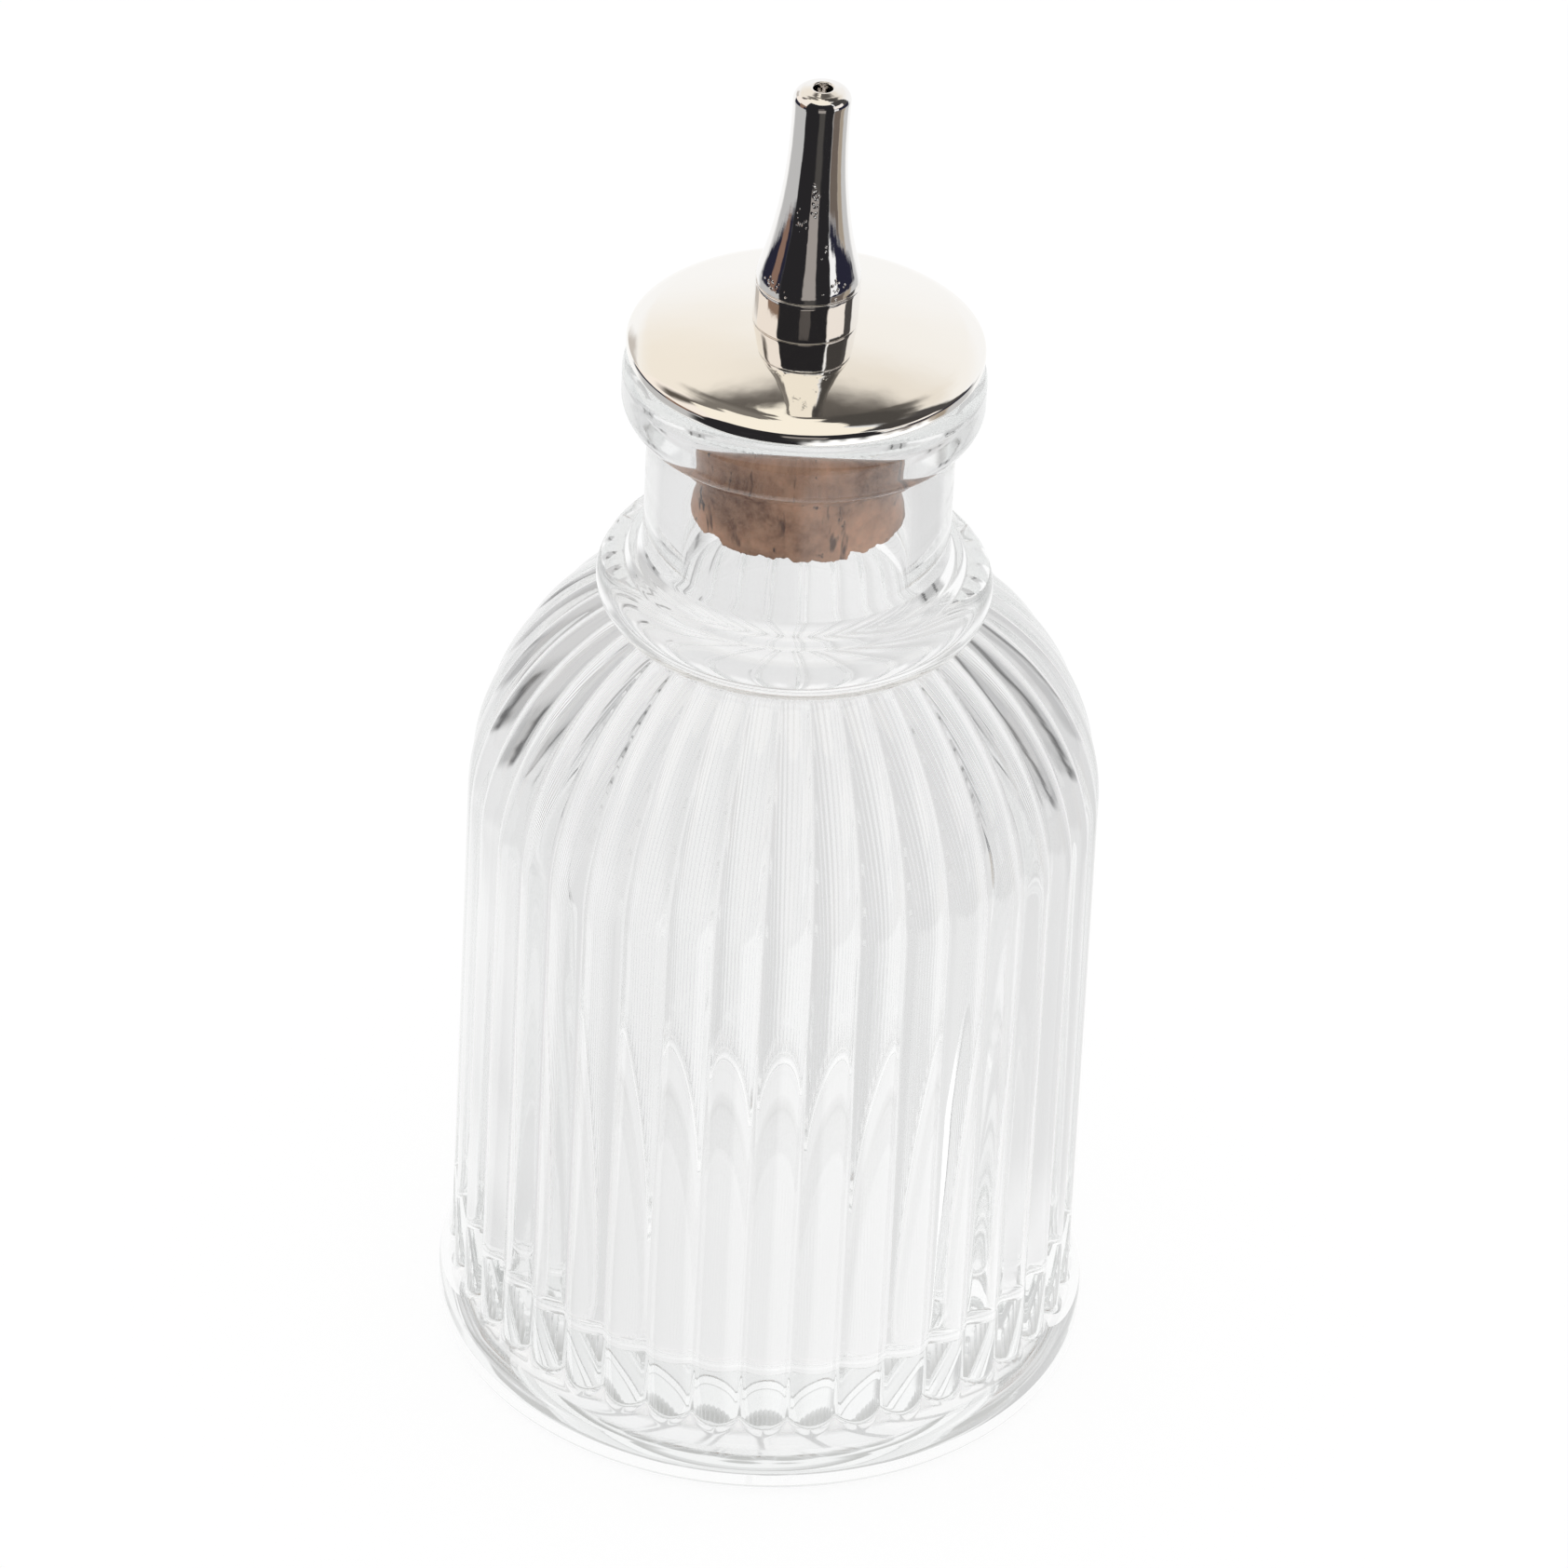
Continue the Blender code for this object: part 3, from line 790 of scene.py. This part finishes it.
def dome_height(radius):
    return cap_sphere_centre + sqrt(CAP_DOME_RADIUS**2 - radius**2)


def cap_mesh():
    lower_centre = (CAP_RADIUS - CAP_LOWER_ROUND, CAP_UNDERSIDE + CAP_LOWER_ROUND)
    edge_angle = degrees(cap_edge_turn)
    dome_angle = degrees(acos(cap_bend_centre[0] / cap_reach))
    profile = line((STEM_HOLE, dome_height(STEM_HOLE)), (STEM_HOLE, CAP_UNDERSIDE), steps=3)
    profile += line(profile[-1], (lower_centre[0], CAP_UNDERSIDE), steps=8)[:-1]
    profile += arc(lower_centre, CAP_LOWER_ROUND, -90, 0, steps=8)
    profile += line(profile[-1], (CAP_RADIUS, CAP_EDGE_CENTRE[1]), steps=3)[:-1]
    profile += arc(CAP_EDGE_CENTRE, CAP_EDGE_ROUND, 0, edge_angle, steps=16)
    profile += arc(cap_bend_centre, CAP_BEND_RADIUS, edge_angle, dome_angle, steps=20)[1:]
    for radius in np.linspace(profile[-1][0], STEM_HOLE, CAP_DOME_ROWS)[1:]:
        profile.append((radius, dome_height(radius)))
    radii, heights = grids(profile, CAP_COLUMNS)
    return swept("domed_cap", radii, heights, ring_angles(CAP_COLUMNS), closed=True)


stopper_piece(cap_mesh(), metal, "cap_disc")
print("top of the dome, mm:", round(dome_height(0) / MM, 2))

# %% [markdown]
# The band and the nozzle stand on the dome. On this bottle they were fixed a little out of true, so both
# lean to the right by just over a degree. Turning them would lift one side of the band off the dome. We
# shear them by that much instead, which the eye accepts as a lean.

# %% Band
LEAN = 0.0236
LEAN_HEIGHT = 129.0 * MM
BAND_RADIUS = 5.15 * MM
BAND_TOP = 123.62 * MM
BAND_CORNER = 0.16 * MM
BAND_CLEARANCE = 0.02 * MM
NOZZLE_COLUMNS = 480
nozzle_angles = ring_angles(NOZZLE_COLUMNS)


def lean(piece):
    for vertex in piece.data.vertices:
        vertex.co.x += LEAN * (vertex.co.z - LEAN_HEIGHT)
    return piece


def band_mesh():
    foot = dome_height(BAND_RADIUS) + BAND_CLEARANCE
    inner = BAND_RADIUS - BAND_CORNER
    profile = arc((inner, foot + BAND_CORNER), BAND_CORNER, -90, 0, steps=6)
    profile += line(profile[-1], (BAND_RADIUS, BAND_TOP - BAND_CORNER), steps=10)[:-1]
    profile += arc((inner, BAND_TOP - BAND_CORNER), BAND_CORNER, 0, 90, steps=6)
    profile += [(STEM_HOLE, BAND_TOP), (STEM_HOLE, foot)]
    radii, heights = grids(profile, NOZZLE_COLUMNS)
    return lean(swept("nozzle_ring", radii, heights, nozzle_angles, closed=True))


stopper_piece(band_mesh(), dipped_metal, "nozzle_band")
print("lean, degrees:", round(degrees(LEAN), 2))

# %% [markdown]
# The nozzle swells at its foot and narrows to the tip in one long hollow curve, which a lathe hand turns by
# eye. No arc follows it. We note its radius at a few heights and draw a smooth curve through them, steeper
# or flatter at each point as its two neighbours ask.

# %% Curve of the nozzle
NOZZLE_CURVE = [
    (123.80, 5.15),
    (124.4, 5.10),
    (125.0, 4.97),
    (125.6, 4.81),
    (126.3, 4.62),
    (127.0, 4.43),
    (128.0, 4.18),
    (130.0, 3.77),
    (132.5, 3.37),
    (135.0, 3.08),
    (138.0, 2.88),
    (141.0, 2.81),
    (142.6, 2.81),
    (143.7, 2.82),
]
NOZZLE_ROWS = 300


def smooth_curve(points, heights):
    """Radius at each height on a smooth curve through the (height, radius) points."""
    z = np.array([p[0] for p in points])
    r = np.array([p[1] for p in points])
    slope = np.gradient(r, z)
    place = np.clip(np.searchsorted(z, heights) - 1, 0, len(z) - 2)
    step = z[place + 1] - z[place]
    s = np.clip((heights - z[place]) / step, 0, 1)
    start = (1 + 2 * s) * (1 - s) ** 2 * r[place] + s * (1 - s) ** 2 * step * slope[place]
    return start + s**2 * (3 - 2 * s) * r[place + 1] + s**2 * (s - 1) * step * slope[place + 1]


side_heights = np.linspace(NOZZLE_CURVE[0][0], NOZZLE_CURVE[-1][0], NOZZLE_ROWS)
side_radii = smooth_curve(NOZZLE_CURVE, side_heights)
print("narrowest radius of the nozzle, mm:", round(side_radii.min(), 3))

# %% [markdown]
# Where the plating ran or trapped air, it left tiny blisters and pits. A bump map would shade them, but a
# mirror shows the real outline of every lump, so these are pushed out of the surface or pressed into it. The
# largest ones have the places they have on the real nozzle. Round them we scatter clusters of small ones with
# a seeded random choice, which gives the same bubbles every time.

# %% Blisters in the plating
# Angle from the front in degrees, then height, size and lift in millimetres.
BLISTERS = [
    (-46, 124.55, 0.16, 0.10),
    (-37, 124.42, 0.13, 0.09),
    (-24, 124.25, 0.15, 0.11),
    (-26, 124.75, 0.10, 0.07),
    (-19, 131.6, 0.20, -0.10),
    (-13, 132.1, 0.17, 0.08),
    (-9, 131.4, 0.14, -0.08),
    (-4, 135.9, 0.17, 0.09),
    (-1, 135.1, 0.20, -0.10),
    (3, 134.5, 0.16, 0.09),
    (0, 133.6, 0.14, -0.08),
    (-3, 133.0, 0.12, 0.07),
]
# Angle, height, spread in degrees, spread in millimetres, and how many.
BUBBLE_CLUSTERS = [
    (34, 125.6, 9, 1.0, 12),
    (-44, 124.9, 9, 0.5, 12),
    (2, 134.6, 5, 1.6, 14),
    (-22, 132.0, 5, 1.2, 10),
    (20, 129.5, 4, 1.6, 4),
]
BUBBLE_SEED = 7
BUBBLE_CROWDING = 0.6
BUBBLE_SIZES = (0.08, 0.16)
BUBBLE_LIFTS = (-0.05, 0.06)


def plating_bubbles():
    """The measured blisters, and the small bubbles scattered round them."""
    chance = np.random.default_rng(BUBBLE_SEED)
    found = list(BLISTERS)
    for angle, height, spread, rise, count in BUBBLE_CLUSTERS:
        for _ in range(count):
            place = (angle + chance.normal() * spread, height + chance.normal() * rise * BUBBLE_CROWDING)
            found.append((*place, chance.uniform(*BUBBLE_SIZES), chance.choice(BUBBLE_LIFTS)))
    return found


def blistered(radii, heights):
    """Pushes out blisters and presses in pits."""
    for angle, height, size, lift in bubbles:
        turn = (nozzle_angles + pi / 2 - radians(angle) + pi) % (2 * pi) - pi
        away = np.sqrt((turn * radii) ** 2 + (heights - height * MM) ** 2) / (size * MM)
        near = np.clip(1 - away, 0, 1)
        radii = radii + lift * MM * near**2 * (3 - 2 * near)
    return radii


bubbles = plating_bubbles()
print("blisters and bubbles:", len(bubbles))

# %% [markdown]
# The nozzle's skin goes from a small rounding above the band, up the curve, over the rounded tip, down
# through the dash hole and along the wider passage to the socket that takes the stem. Modelling the hole for
# real costs a few rows, and the tip then has the dark dot that tells the eye what this piece does.

# %% Nozzle
NOZZLE_TOP = 145.05 * MM
NOZZLE_TIP_ROUND = 1.2 * MM
NOZZLE_HOLE = 0.95 * MM
NOZZLE_SEAM = 0.03 * MM
HOLE_ROUND = 0.18 * MM
HOLE_DEPTH = 4 * MM
LIQUID_BORE = 1.9 * MM
PASSAGE_FOOT = 126.6 * MM
SOCKET_TOP = 126.5 * MM
LOW_STEPS = 10


def nozzle_mesh():
    seam = BAND_TOP + NOZZLE_SEAM
    side = [(r * MM, z * MM) for z, r in zip(side_heights, side_radii)]
    low_round = side[0][1] - seam
    low_centre = (side[0][0] - low_round, side[0][1])
    tip_centre = (side[-1][0] - NOZZLE_TIP_ROUND, side[-1][1])
    hole_centre = (NOZZLE_HOLE + HOLE_ROUND, NOZZLE_TOP - HOLE_ROUND)
    profile = arc(low_centre, low_round, -90, -12, LOW_STEPS) + side
    profile += arc(tip_centre, NOZZLE_TIP_ROUND, 8, 82, steps=20)
    profile += line(profile[-1], (hole_centre[0], NOZZLE_TOP), steps=6)
    profile += arc(hole_centre, HOLE_ROUND, 90, 180, steps=5)[1:]
    profile += line(profile[-1], (NOZZLE_HOLE, NOZZLE_TOP - HOLE_DEPTH), steps=8)
    profile += [(LIQUID_BORE, PASSAGE_FOOT), (STEM_HOLE, SOCKET_TOP), (STEM_HOLE, seam)]
    radii, heights = grids(profile, NOZZLE_COLUMNS)
    outside = slice(LOW_STEPS, LOW_STEPS + len(side))
    radii[outside] = blistered(radii[outside], heights[outside])
    return lean(swept("dasher_spout", radii, heights, nozzle_angles, closed=True))


stopper_piece(nozzle_mesh(), dipped_metal, "dasher_nozzle")

# %% [markdown]
# Inside the cork runs the tube that carries the liquid. Three barbs hold it in the cork and a flange closes
# it off below. It could be left out, because it shows only when the stopper is lifted, but then it is what a
# curious hand would look at. Its edges are sharp, so the smooth shading is broken at them.

# %% Stem tube
STEM_RADIUS = 3.1 * MM
STEM_TOP = 126.16 * MM
BARB = 0.5 * MM
BARB_LENGTH = 2.0 * MM
BARB_HEIGHTS = (102.75 * MM, 106.75 * MM, 110.75 * MM)
FLANGE_RADIUS = 5.0 * MM
FLANGE = (97.4 * MM, 98.2 * MM)
FLANGE_ROUND = 0.2 * MM
SHARP_EDGE = radians(35)
STEM_COLUMNS = 96


def stem_mesh():
    round_centre = FLANGE_RADIUS - FLANGE_ROUND
    profile = [(LIQUID_BORE, STEM_TOP), (LIQUID_BORE, FLANGE[0])]
    profile += arc((round_centre, FLANGE[0] + FLANGE_ROUND), FLANGE_ROUND, -90, 0, steps=4)
    profile += arc((round_centre, FLANGE[1] - FLANGE_ROUND), FLANGE_ROUND, 0, 90, steps=4)
    profile.append((STEM_RADIUS, FLANGE[1]))
    for height in BARB_HEIGHTS:
        profile += [(STEM_RADIUS, height - BARB_LENGTH), (STEM_RADIUS + BARB, height), (STEM_RADIUS, height)]
    profile.append((STEM_RADIUS, STEM_TOP))
    radii, heights = grids(profile, STEM_COLUMNS)
    piece = swept("pour_stem", radii, heights, ring_angles(STEM_COLUMNS), closed=True)
    piece.data.set_sharp_from_angle(angle=SHARP_EDGE)
    return piece


stopper_piece(stem_mesh(), metal, "stem_tube")

# %% [markdown]
# Glass and mirrors show their surroundings more than themselves, so the room matters as much as the pieces.
# The photograph was taken on a white sweep. In a room that is white all round, glass disappears, because
# whatever it loses by reflection comes back from the other side. A real studio is dark behind the camera, so
# the view through the glass is a shade darker here than the bare white. Lamps and cloths could do this, but
# a Light Path node is simpler. It tells what a ray is for, so each kind of ray can be shown its own white.

# %% Helpers for the room
WHITE = (1, 1, 1, 1)


def path_share(nodes, *kinds):
    """One for rays of these kinds, such as what the camera or a mirror looks at, and zero for all others."""
    shares = [nodes.add("ShaderNodeLightPath", output=f"Is {kind} Ray") for kind in kinds]
    return sum(shares[1:], shares[0]).at_most(1.0)


def shown_apart(nodes, share, plain, seen, through):
    """One shader for what is lit, another for what is seen by share, and a third seen through glass."""
    both = nodes.blend(share, plain, seen)
    return nodes.blend(path_share(nodes, "Transmission"), both, through)


# %% [markdown]
# The surround is the world itself. The light that falls on the object is a plain, even grey from all sides,
# while the camera and the metal look at bare white.

# %% White surround
PLAIN_LIGHT = (0.80, 0.80, 0.80, 1)
WHITE_THROUGH_GLASS = 0.835


def white_room():
    world = bpy.data.worlds.new("studio_surround")
    bpy.context.scene.world = world
    world.use_nodes = True
    nodes = Nodes(world.node_tree)
    plain = nodes.add("ShaderNodeBackground", {}, {"Color": PLAIN_LIGHT, "Strength": 1.0})
    seen = nodes.add("ShaderNodeBackground", {}, {"Color": WHITE, "Strength": 1.0})
    through = nodes.add("ShaderNodeBackground", {}, {"Color": WHITE, "Strength": WHITE_THROUGH_GLASS})
    every = shown_apart(nodes, path_share(nodes, "Camera", "Glossy"), plain, seen, through)
    nodes.add("ShaderNodeOutputWorld", {}, {"Surface": every})
    print("nodes of the surround:", len(world.node_tree.nodes))


white_room()

# %% [markdown]
# The floor is a large plane. The photograph's is so bright that only a breath of shadow is left on it. We mix
# a matt white, which takes shadows, with a glow that doesn't, and FLOOR_SHADE_SHARE says how much of the
# matt one the camera sees.

# %% White floor
FLOOR_HALF = 3.0
FLOOR_WHITE = (0.9, 0.9, 0.9, 1)
FLOOR_GLOW = 1.05
FLOOR_SHADE_SHARE = 0.12
FLOOR_THROUGH_GLASS = 0.92


def floor():
    material, nodes = new_material("white_floor")
    matt = nodes.add("ShaderNodeBsdfDiffuse", {}, {"Color": FLOOR_WHITE})
    glow = nodes.add("ShaderNodeEmission", {}, {"Color": WHITE, "Strength": FLOOR_GLOW})
    through = nodes.add("ShaderNodeEmission", {}, {"Color": WHITE, "Strength": FLOOR_THROUGH_GLASS})
    share = path_share(nodes, "Camera", "Glossy") * (1 - FLOOR_SHADE_SHARE)
    every = shown_apart(nodes, share, matt, glow, through)
    nodes.add("ShaderNodeOutputMaterial", {}, {"Surface": every})
    material.cycles.emission_sampling = "NONE"
    mesh = bpy.data.meshes.new("floor")
    h = FLOOR_HALF
    mesh.from_pydata([(-h, -h, 0), (h, -h, 0), (h, h, 0), (-h, h, 0)], [], [(0, 1, 2, 3)])
    dress(added("floor", mesh), material)
    print("floor, m across:", 2 * FLOOR_HALF)


floor()

# %% [markdown]
# A polished cap in a pure white room would vanish. Product photographers hang black flags and softboxes
# round the table, so that metal and glass have something to draw themselves with. Ours hang on two big
# shells. This is the one that mirrors look at. Each panel is named by where it hangs, seen from the cap: its
# left and right end round the table in degrees, with 0 towards the camera and + to the right, then its lower
# and upper edge above the horizon, then how soft its ends and its edges are, then its colour. Later panels
# hang in front of earlier ones, and where there is no panel the white room shows.

# %% Panels for the mirrors
MIRRORED = {
    "back, cream above the horizon": (100, 250, 24, 62, 22, 22, (0.97, 0.945, 0.905)),
    "back, deeper cream": (112, 236, 41, 62, 26, 14, (0.86, 0.80, 0.71)),
    "back, left side warmer": (190, 248, 28, 62, 22, 22, (0.93, 0.865, 0.765)),
    "left, pale grey floor": (-125, -60, -48, -15, 14, 5, (0.54, 0.54, 0.54)),
    "right, pale grey floor": (95, 130, -48, -12, 14, 5, (0.60, 0.60, 0.60)),
    "left, dark wall": (-124, -60, -16, 6, 8, 3, (0.022, 0.022, 0.040)),
    "right, dark wall": (50, 120, -16, 6, 8, 3, (0.022, 0.022, 0.040)),
    "right, brown floor": (50, 84, -35, -16, 8, 2, (0.16, 0.13, 0.11)),
    "right, beige floor": (82, 101, -35, -16, 6, 2, (0.40, 0.34, 0.27)),
    "front, dark room": (-63, 50, -32, 54, 4, 3, (0.022, 0.021, 0.023)),
    "front left, dark floor": (-72, 2, -76, -30, 10, 3, (0.022, 0.021, 0.023)),
    "front right, bright floor": (9, 88, -76, -32, 9, 4, (1.4, 1.4, 1.4)),
    "left, grey card": (-147, -121, 6, 22, 8, 6, (0.60, 0.56, 0.52)),
    "left, cream card": (-124, -62, 5, 60, 3, 4, (0.98, 0.90, 0.82)),
    "left, brown edge": (-90, -60, 2, 13, 4, 3, (0.28, 0.19, 0.14)),
    "left, red brown stripe": (-89, -71, -16, 4, 4, 2, (0.26, 0.16, 0.12)),
    "right, grey wall": (86, 115, 2, 58, 5, 5, (0.075, 0.070, 0.068)),
    "right, cream card": (47, 90, 6, 27, 2, 4, (0.98, 0.92, 0.86)),
    "right, dark above the card": (56, 100, 27, 64, 3, 3, (0.060, 0.055, 0.052)),
    "right, window": (48, 64, -12, 2, 2, 1, (1.0, 1.0, 1.0)),
    "front, grey stripe": (-11, 15, -19, 5, 3, 3, (0.36, 0.33, 0.31)),
    "front, faint grey": (-12, 10, 5, 21, 4, 3, (0.10, 0.09, 0.085)),
    "front, dim stripe": (-6, 16, -32, -19, 9, 4, (0.075, 0.070, 0.066)),
    "back, dark gap": (140, 216, 51.5, 84, 22, 8, (0.135, 0.120, 0.105)),
    "back left, dark gap": (204, 254, 56.5, 84, 22, 10, (0.21, 0.19, 0.165)),
    "back right, dark gap": (102, 152, 55, 84, 18, 8, (0.16, 0.145, 0.128)),
    "back, darkest right of it": (88, 174, 57, 84, 20, 9, (0.075, 0.068, 0.061)),
    "left, dark stripe": (-118, -103, 38, 60, 9, 10, (0.11, 0.095, 0.080)),
    "above, front softbox": (-110, 56, 55, 80, 2, 1.5, (1.0, 0.93, 0.80)),
    "above, right wing": (50, 80, 64, 80, 2, 1.5, (1.0, 0.93, 0.80)),
    "above, left wing": (-127, -100, 66, 80, 3, 1.5, (1.0, 0.93, 0.80)),
    "above, strip at the back": (-177, -168, 56.5, 72, 1.5, 1.5, (1.0, 0.93, 0.80)),
    "above, back edge": (167, 202, 69, 80, 3, 1.5, (1.0, 0.93, 0.80)),
    "above, softbox": (-180, 180, 77, 91, 0.01, 1, (1.0, 0.93, 0.80)),
}
print("panels for the mirrors:", len(MIRRORED))

# %% [markdown]
# The second shell is what shows through the glass. It has the pale backdrop, the greyer floor, and at each
# side a grey card with two dark posts. The ribs bend the view so strongly that a narrow post becomes the dark
# line that runs down the edge of a rib, which is how photographers draw the outline of clear glass.

# %% Panels seen through the glass
THROUGH_GLASS = {
    "all round, floor further out": (-180, 180, -66, -2, 0.01, 6, (0.82, 0.82, 0.82)),
    "front, dim room": (-98, 98, -12, 72, 16, 6, (0.68, 0.68, 0.68)),
    "front, pale floor": (-98, 98, -73, -12, 16, 6, (0.79, 0.79, 0.79)),
    "back, bright backdrop": (116, 244, -14, 25, 14, 5, (1.0, 1.0, 1.0)),
    "back, bright near floor": (116, 244, -73, -52, 14, 8, (0.91, 0.91, 0.91)),
    "right, greyer floor": (104, 160, -73, -12, 16, 5, (0.74, 0.74, 0.74)),
    "left, pale grey wall": (-156, -112, -16, 45, 12, 8, (0.62, 0.62, 0.62)),
    "back, grey above": (146, 214, 31, 58, 14, 11, (0.60, 0.60, 0.59)),
    "left, grey card": (-152, -126, -32, -8, 5, 4, (0.50, 0.50, 0.50)),
    "left, first dark post": (-149.5, -146.5, -33, -8, 2, 3, (0.13, 0.13, 0.13)),
    "left, second dark post": (-136, -133, -33, -12, 2, 3, (0.13, 0.13, 0.13)),
    "right, grey card": (112, 140, -31, 14, 5, 4, (0.56, 0.56, 0.56)),
    "right, first dark post": (116, 118.5, -32, 10, 2, 3, (0.13, 0.13, 0.13)),
    "right, second dark post": (130, 132.5, -33, 6, 2, 3, (0.13, 0.13, 0.13)),
}
print("panels seen through the glass:", len(THROUGH_GLASS))

# %% [markdown]
# We could build every panel as a plane of its own, but soft edges, such as a flag out of focus has, would
# then need a material each. Instead the panels are painted onto a shell as a colour and a cover for every
# point. Their edges wander a little, as the edges of real cloth and card do.

# %% Helpers that paint panels
RAGGED_EDGE = 1.6
RAGGED_ROUND = 9
RAGGED_UP = 0.25
ALMOST_NONE = 1e-6


def soft_step(value, start, width):
    share = np.clip((value - start) / width + 0.5, 0, 1)
    return share * share * (3 - 2 * share)


def panel_cover(turn, height, panel):
    """How much a panel covers of each direction, from 0 to 1."""
    left, right, low, high, side_soft, level_soft, _ = panel
    away = np.abs((turn - (left + right) / 2 + 180) % 360 - 180)
    sides = 1 - soft_step(away, (right - left) / 2, side_soft)
    if right - left >= 360:
        sides = np.ones_like(away)
    return sides * soft_step(height, low, level_soft) * (1 - soft_step(height, high, level_soft))


def wander(turn, height):
    """How far the edges of the panels wander in this direction, from -1 to 1."""
    x, y = cos(radians(turn)) * RAGGED_ROUND, sin(radians(turn)) * RAGGED_ROUND
    return noise.noise(Vector((x, y, height * RAGGED_UP)))


def painted(turns, heights, panels):
    """Colour and cover for each direction, with the panels laid over each other in order."""
    turn, height = np.meshgrid(turns, heights)
    ragged = np.array([[wander(a, e) for a in turns] for e in heights]) * RAGGED_EDGE
    colours = np.zeros(turn.shape + (3,))
    covered = np.zeros(turn.shape + (1,))
    for panel in panels.values():
        cover = panel_cover(turn + ragged, height + ragged, panel)[..., None]
        colours = colours * (1 - cover) + np.array(panel[6]) * cover
        covered = covered * (1 - cover) + cover
    return np.concatenate([colours / np.maximum(covered, ALMOST_NONE), covered], axis=2)


sample = panel_cover(np.array([-90.0]), np.array([0.0]), MIRRORED["left, dark wall"])
print("the left wall covers the left at the horizon by:", round(float(sample[0]), 2))

# %% [markdown]
# A shell is a sphere round the cap, cut off just above the floor. It glows with its paint where a panel
# covers it and is clear elsewhere. Neither shell lights anything or casts a shadow. The mirrored one is
# hidden from rays that go through glass, and the other one from rays that a mirror sends out.

# %% The two shells
SHELL_RADIUS = 0.9
SHELL_CENTRE_HEIGHT = 125 * MM
SHELL_CLEARANCE = 2 * MM
SHELL_LOWEST = -73
SHELL_STEP = 1.5
SHELL_LEVELS = 151
PAINT = "paint"


def shell_glow(name):
    """A material that glows with the painted colour and is clear where nothing is painted."""
    material, nodes = new_material(name)
    colour = nodes.add("ShaderNodeAttribute", {"attribute_name": PAINT})
    cover = nodes.add("ShaderNodeAttribute", {"attribute_name": PAINT}, output=3)
    glow = nodes.add("ShaderNodeEmission", {}, {"Color": colour, "Strength": 1.0})
    clear = nodes.add("ShaderNodeBsdfTransparent")
    nodes.add("ShaderNodeOutputMaterial", {}, {"Surface": nodes.blend(cover, clear, glow)})
    material.cycles.emission_sampling = "NONE"
    return material


def shell(name, panels):
    turns = np.arange(-180, 180, SHELL_STEP)
    heights = np.linspace(SHELL_LOWEST, 90, SHELL_LEVELS)
    down = np.maximum(-np.sin(np.radians(heights)), ALMOST_NONE)
    reach = np.minimum(SHELL_RADIUS, (SHELL_CENTRE_HEIGHT - SHELL_CLEARANCE) / down)
    radii = np.repeat((reach * np.cos(np.radians(heights)))[:, None], len(turns), 1)
    rises = np.repeat((reach * np.sin(np.radians(heights)))[:, None], len(turns), 1)
    radii[-1] = 0.0
    piece = swept(name, radii, SHELL_CENTRE_HEIGHT + rises, np.radians(turns) - pi / 2)
    paint = piece.data.color_attributes.new(PAINT, "FLOAT_COLOR", "POINT")
    colours = painted(turns, heights, panels)
    paint.data.foreach_set("color", np.vstack([colours[:-1].reshape(-1, 4), colours[-1:, 0]]).ravel())
    piece.visible_camera = False
    piece.visible_diffuse = False
    piece.visible_volume_scatter = False
    piece.visible_shadow = False
    dress(piece, shell_glow(name))
    print(name, "panels:", len(panels), "points:", len(piece.data.vertices))
    return piece


shell("mirrored_panels", MIRRORED).visible_transmission = False
shell("panels_through_glass", THROUGH_GLASS).visible_glossy = False

# %% [markdown]
# The photograph looks down on the bottle from nearly a metre away, through a long lens, and is tipped by
# three degrees. Dragging a camera until it looks right takes many tries. This one was worked out from points
# that can be told in the photograph and on the bottle, such as the ends of the ribs. We build its three axes
# from the elevation, and then pitch and roll them.

# %% Camera
CAMERA_ELEVATION = radians(34.63)
CAMERA_DISTANCE = 953.86 * MM
CAMERA_TARGET_HEIGHT = 60 * MM
CAMERA_PITCH = radians(0.22)
CAMERA_ROLL = radians(2.9)
FRAME_PIXELS = 1684
LENS_PIXELS = 10207.79
SENSOR_WIDTH = 36.0


def camera():
    place = Vector((0, -CAMERA_DISTANCE * cos(CAMERA_ELEVATION), 0))
    place.z = CAMERA_TARGET_HEIGHT + CAMERA_DISTANCE * sin(CAMERA_ELEVATION)
    forward = Vector((0, cos(CAMERA_ELEVATION), -sin(CAMERA_ELEVATION)))
    right = Vector((1, 0, 0))
    up = right.cross(forward)
    tilted = forward * cos(CAMERA_PITCH) + up * sin(CAMERA_PITCH)
    up = up * cos(CAMERA_PITCH) - forward * sin(CAMERA_PITCH)
    rolled_right = right * cos(CAMERA_ROLL) + up * sin(CAMERA_ROLL)
    rolled_up = up * cos(CAMERA_ROLL) - right * sin(CAMERA_ROLL)
    data = bpy.data.cameras.new("camera")
    data.sensor_width = SENSOR_WIDTH
    data.lens = LENS_PIXELS / FRAME_PIXELS * SENSOR_WIDTH
    piece = added("camera", data)
    turn = Matrix((rolled_right, rolled_up, -tilted)).transposed()
    piece.matrix_world = Matrix.Translation(place) @ turn.to_4x4()
    bpy.context.scene.camera = piece
    print("lens, mm:", round(data.lens, 1))


camera()

# %% [markdown]
# A ray that enters ribbed glass is turned round many times before it leaves. With the usual few bounces it
# would give up inside and leave black specks, so the path through glass and mirrors may be long. The Standard
# view keeps the white of the room white.

# %% Finish
LIGHT_BOUNCES = 32

bpy.context.scene.cycles.max_bounces = LIGHT_BOUNCES
bpy.context.scene.cycles.glossy_bounces = LIGHT_BOUNCES
bpy.context.scene.cycles.transmission_bounces = LIGHT_BOUNCES
bpy.context.scene.view_settings.view_transform = "Standard"
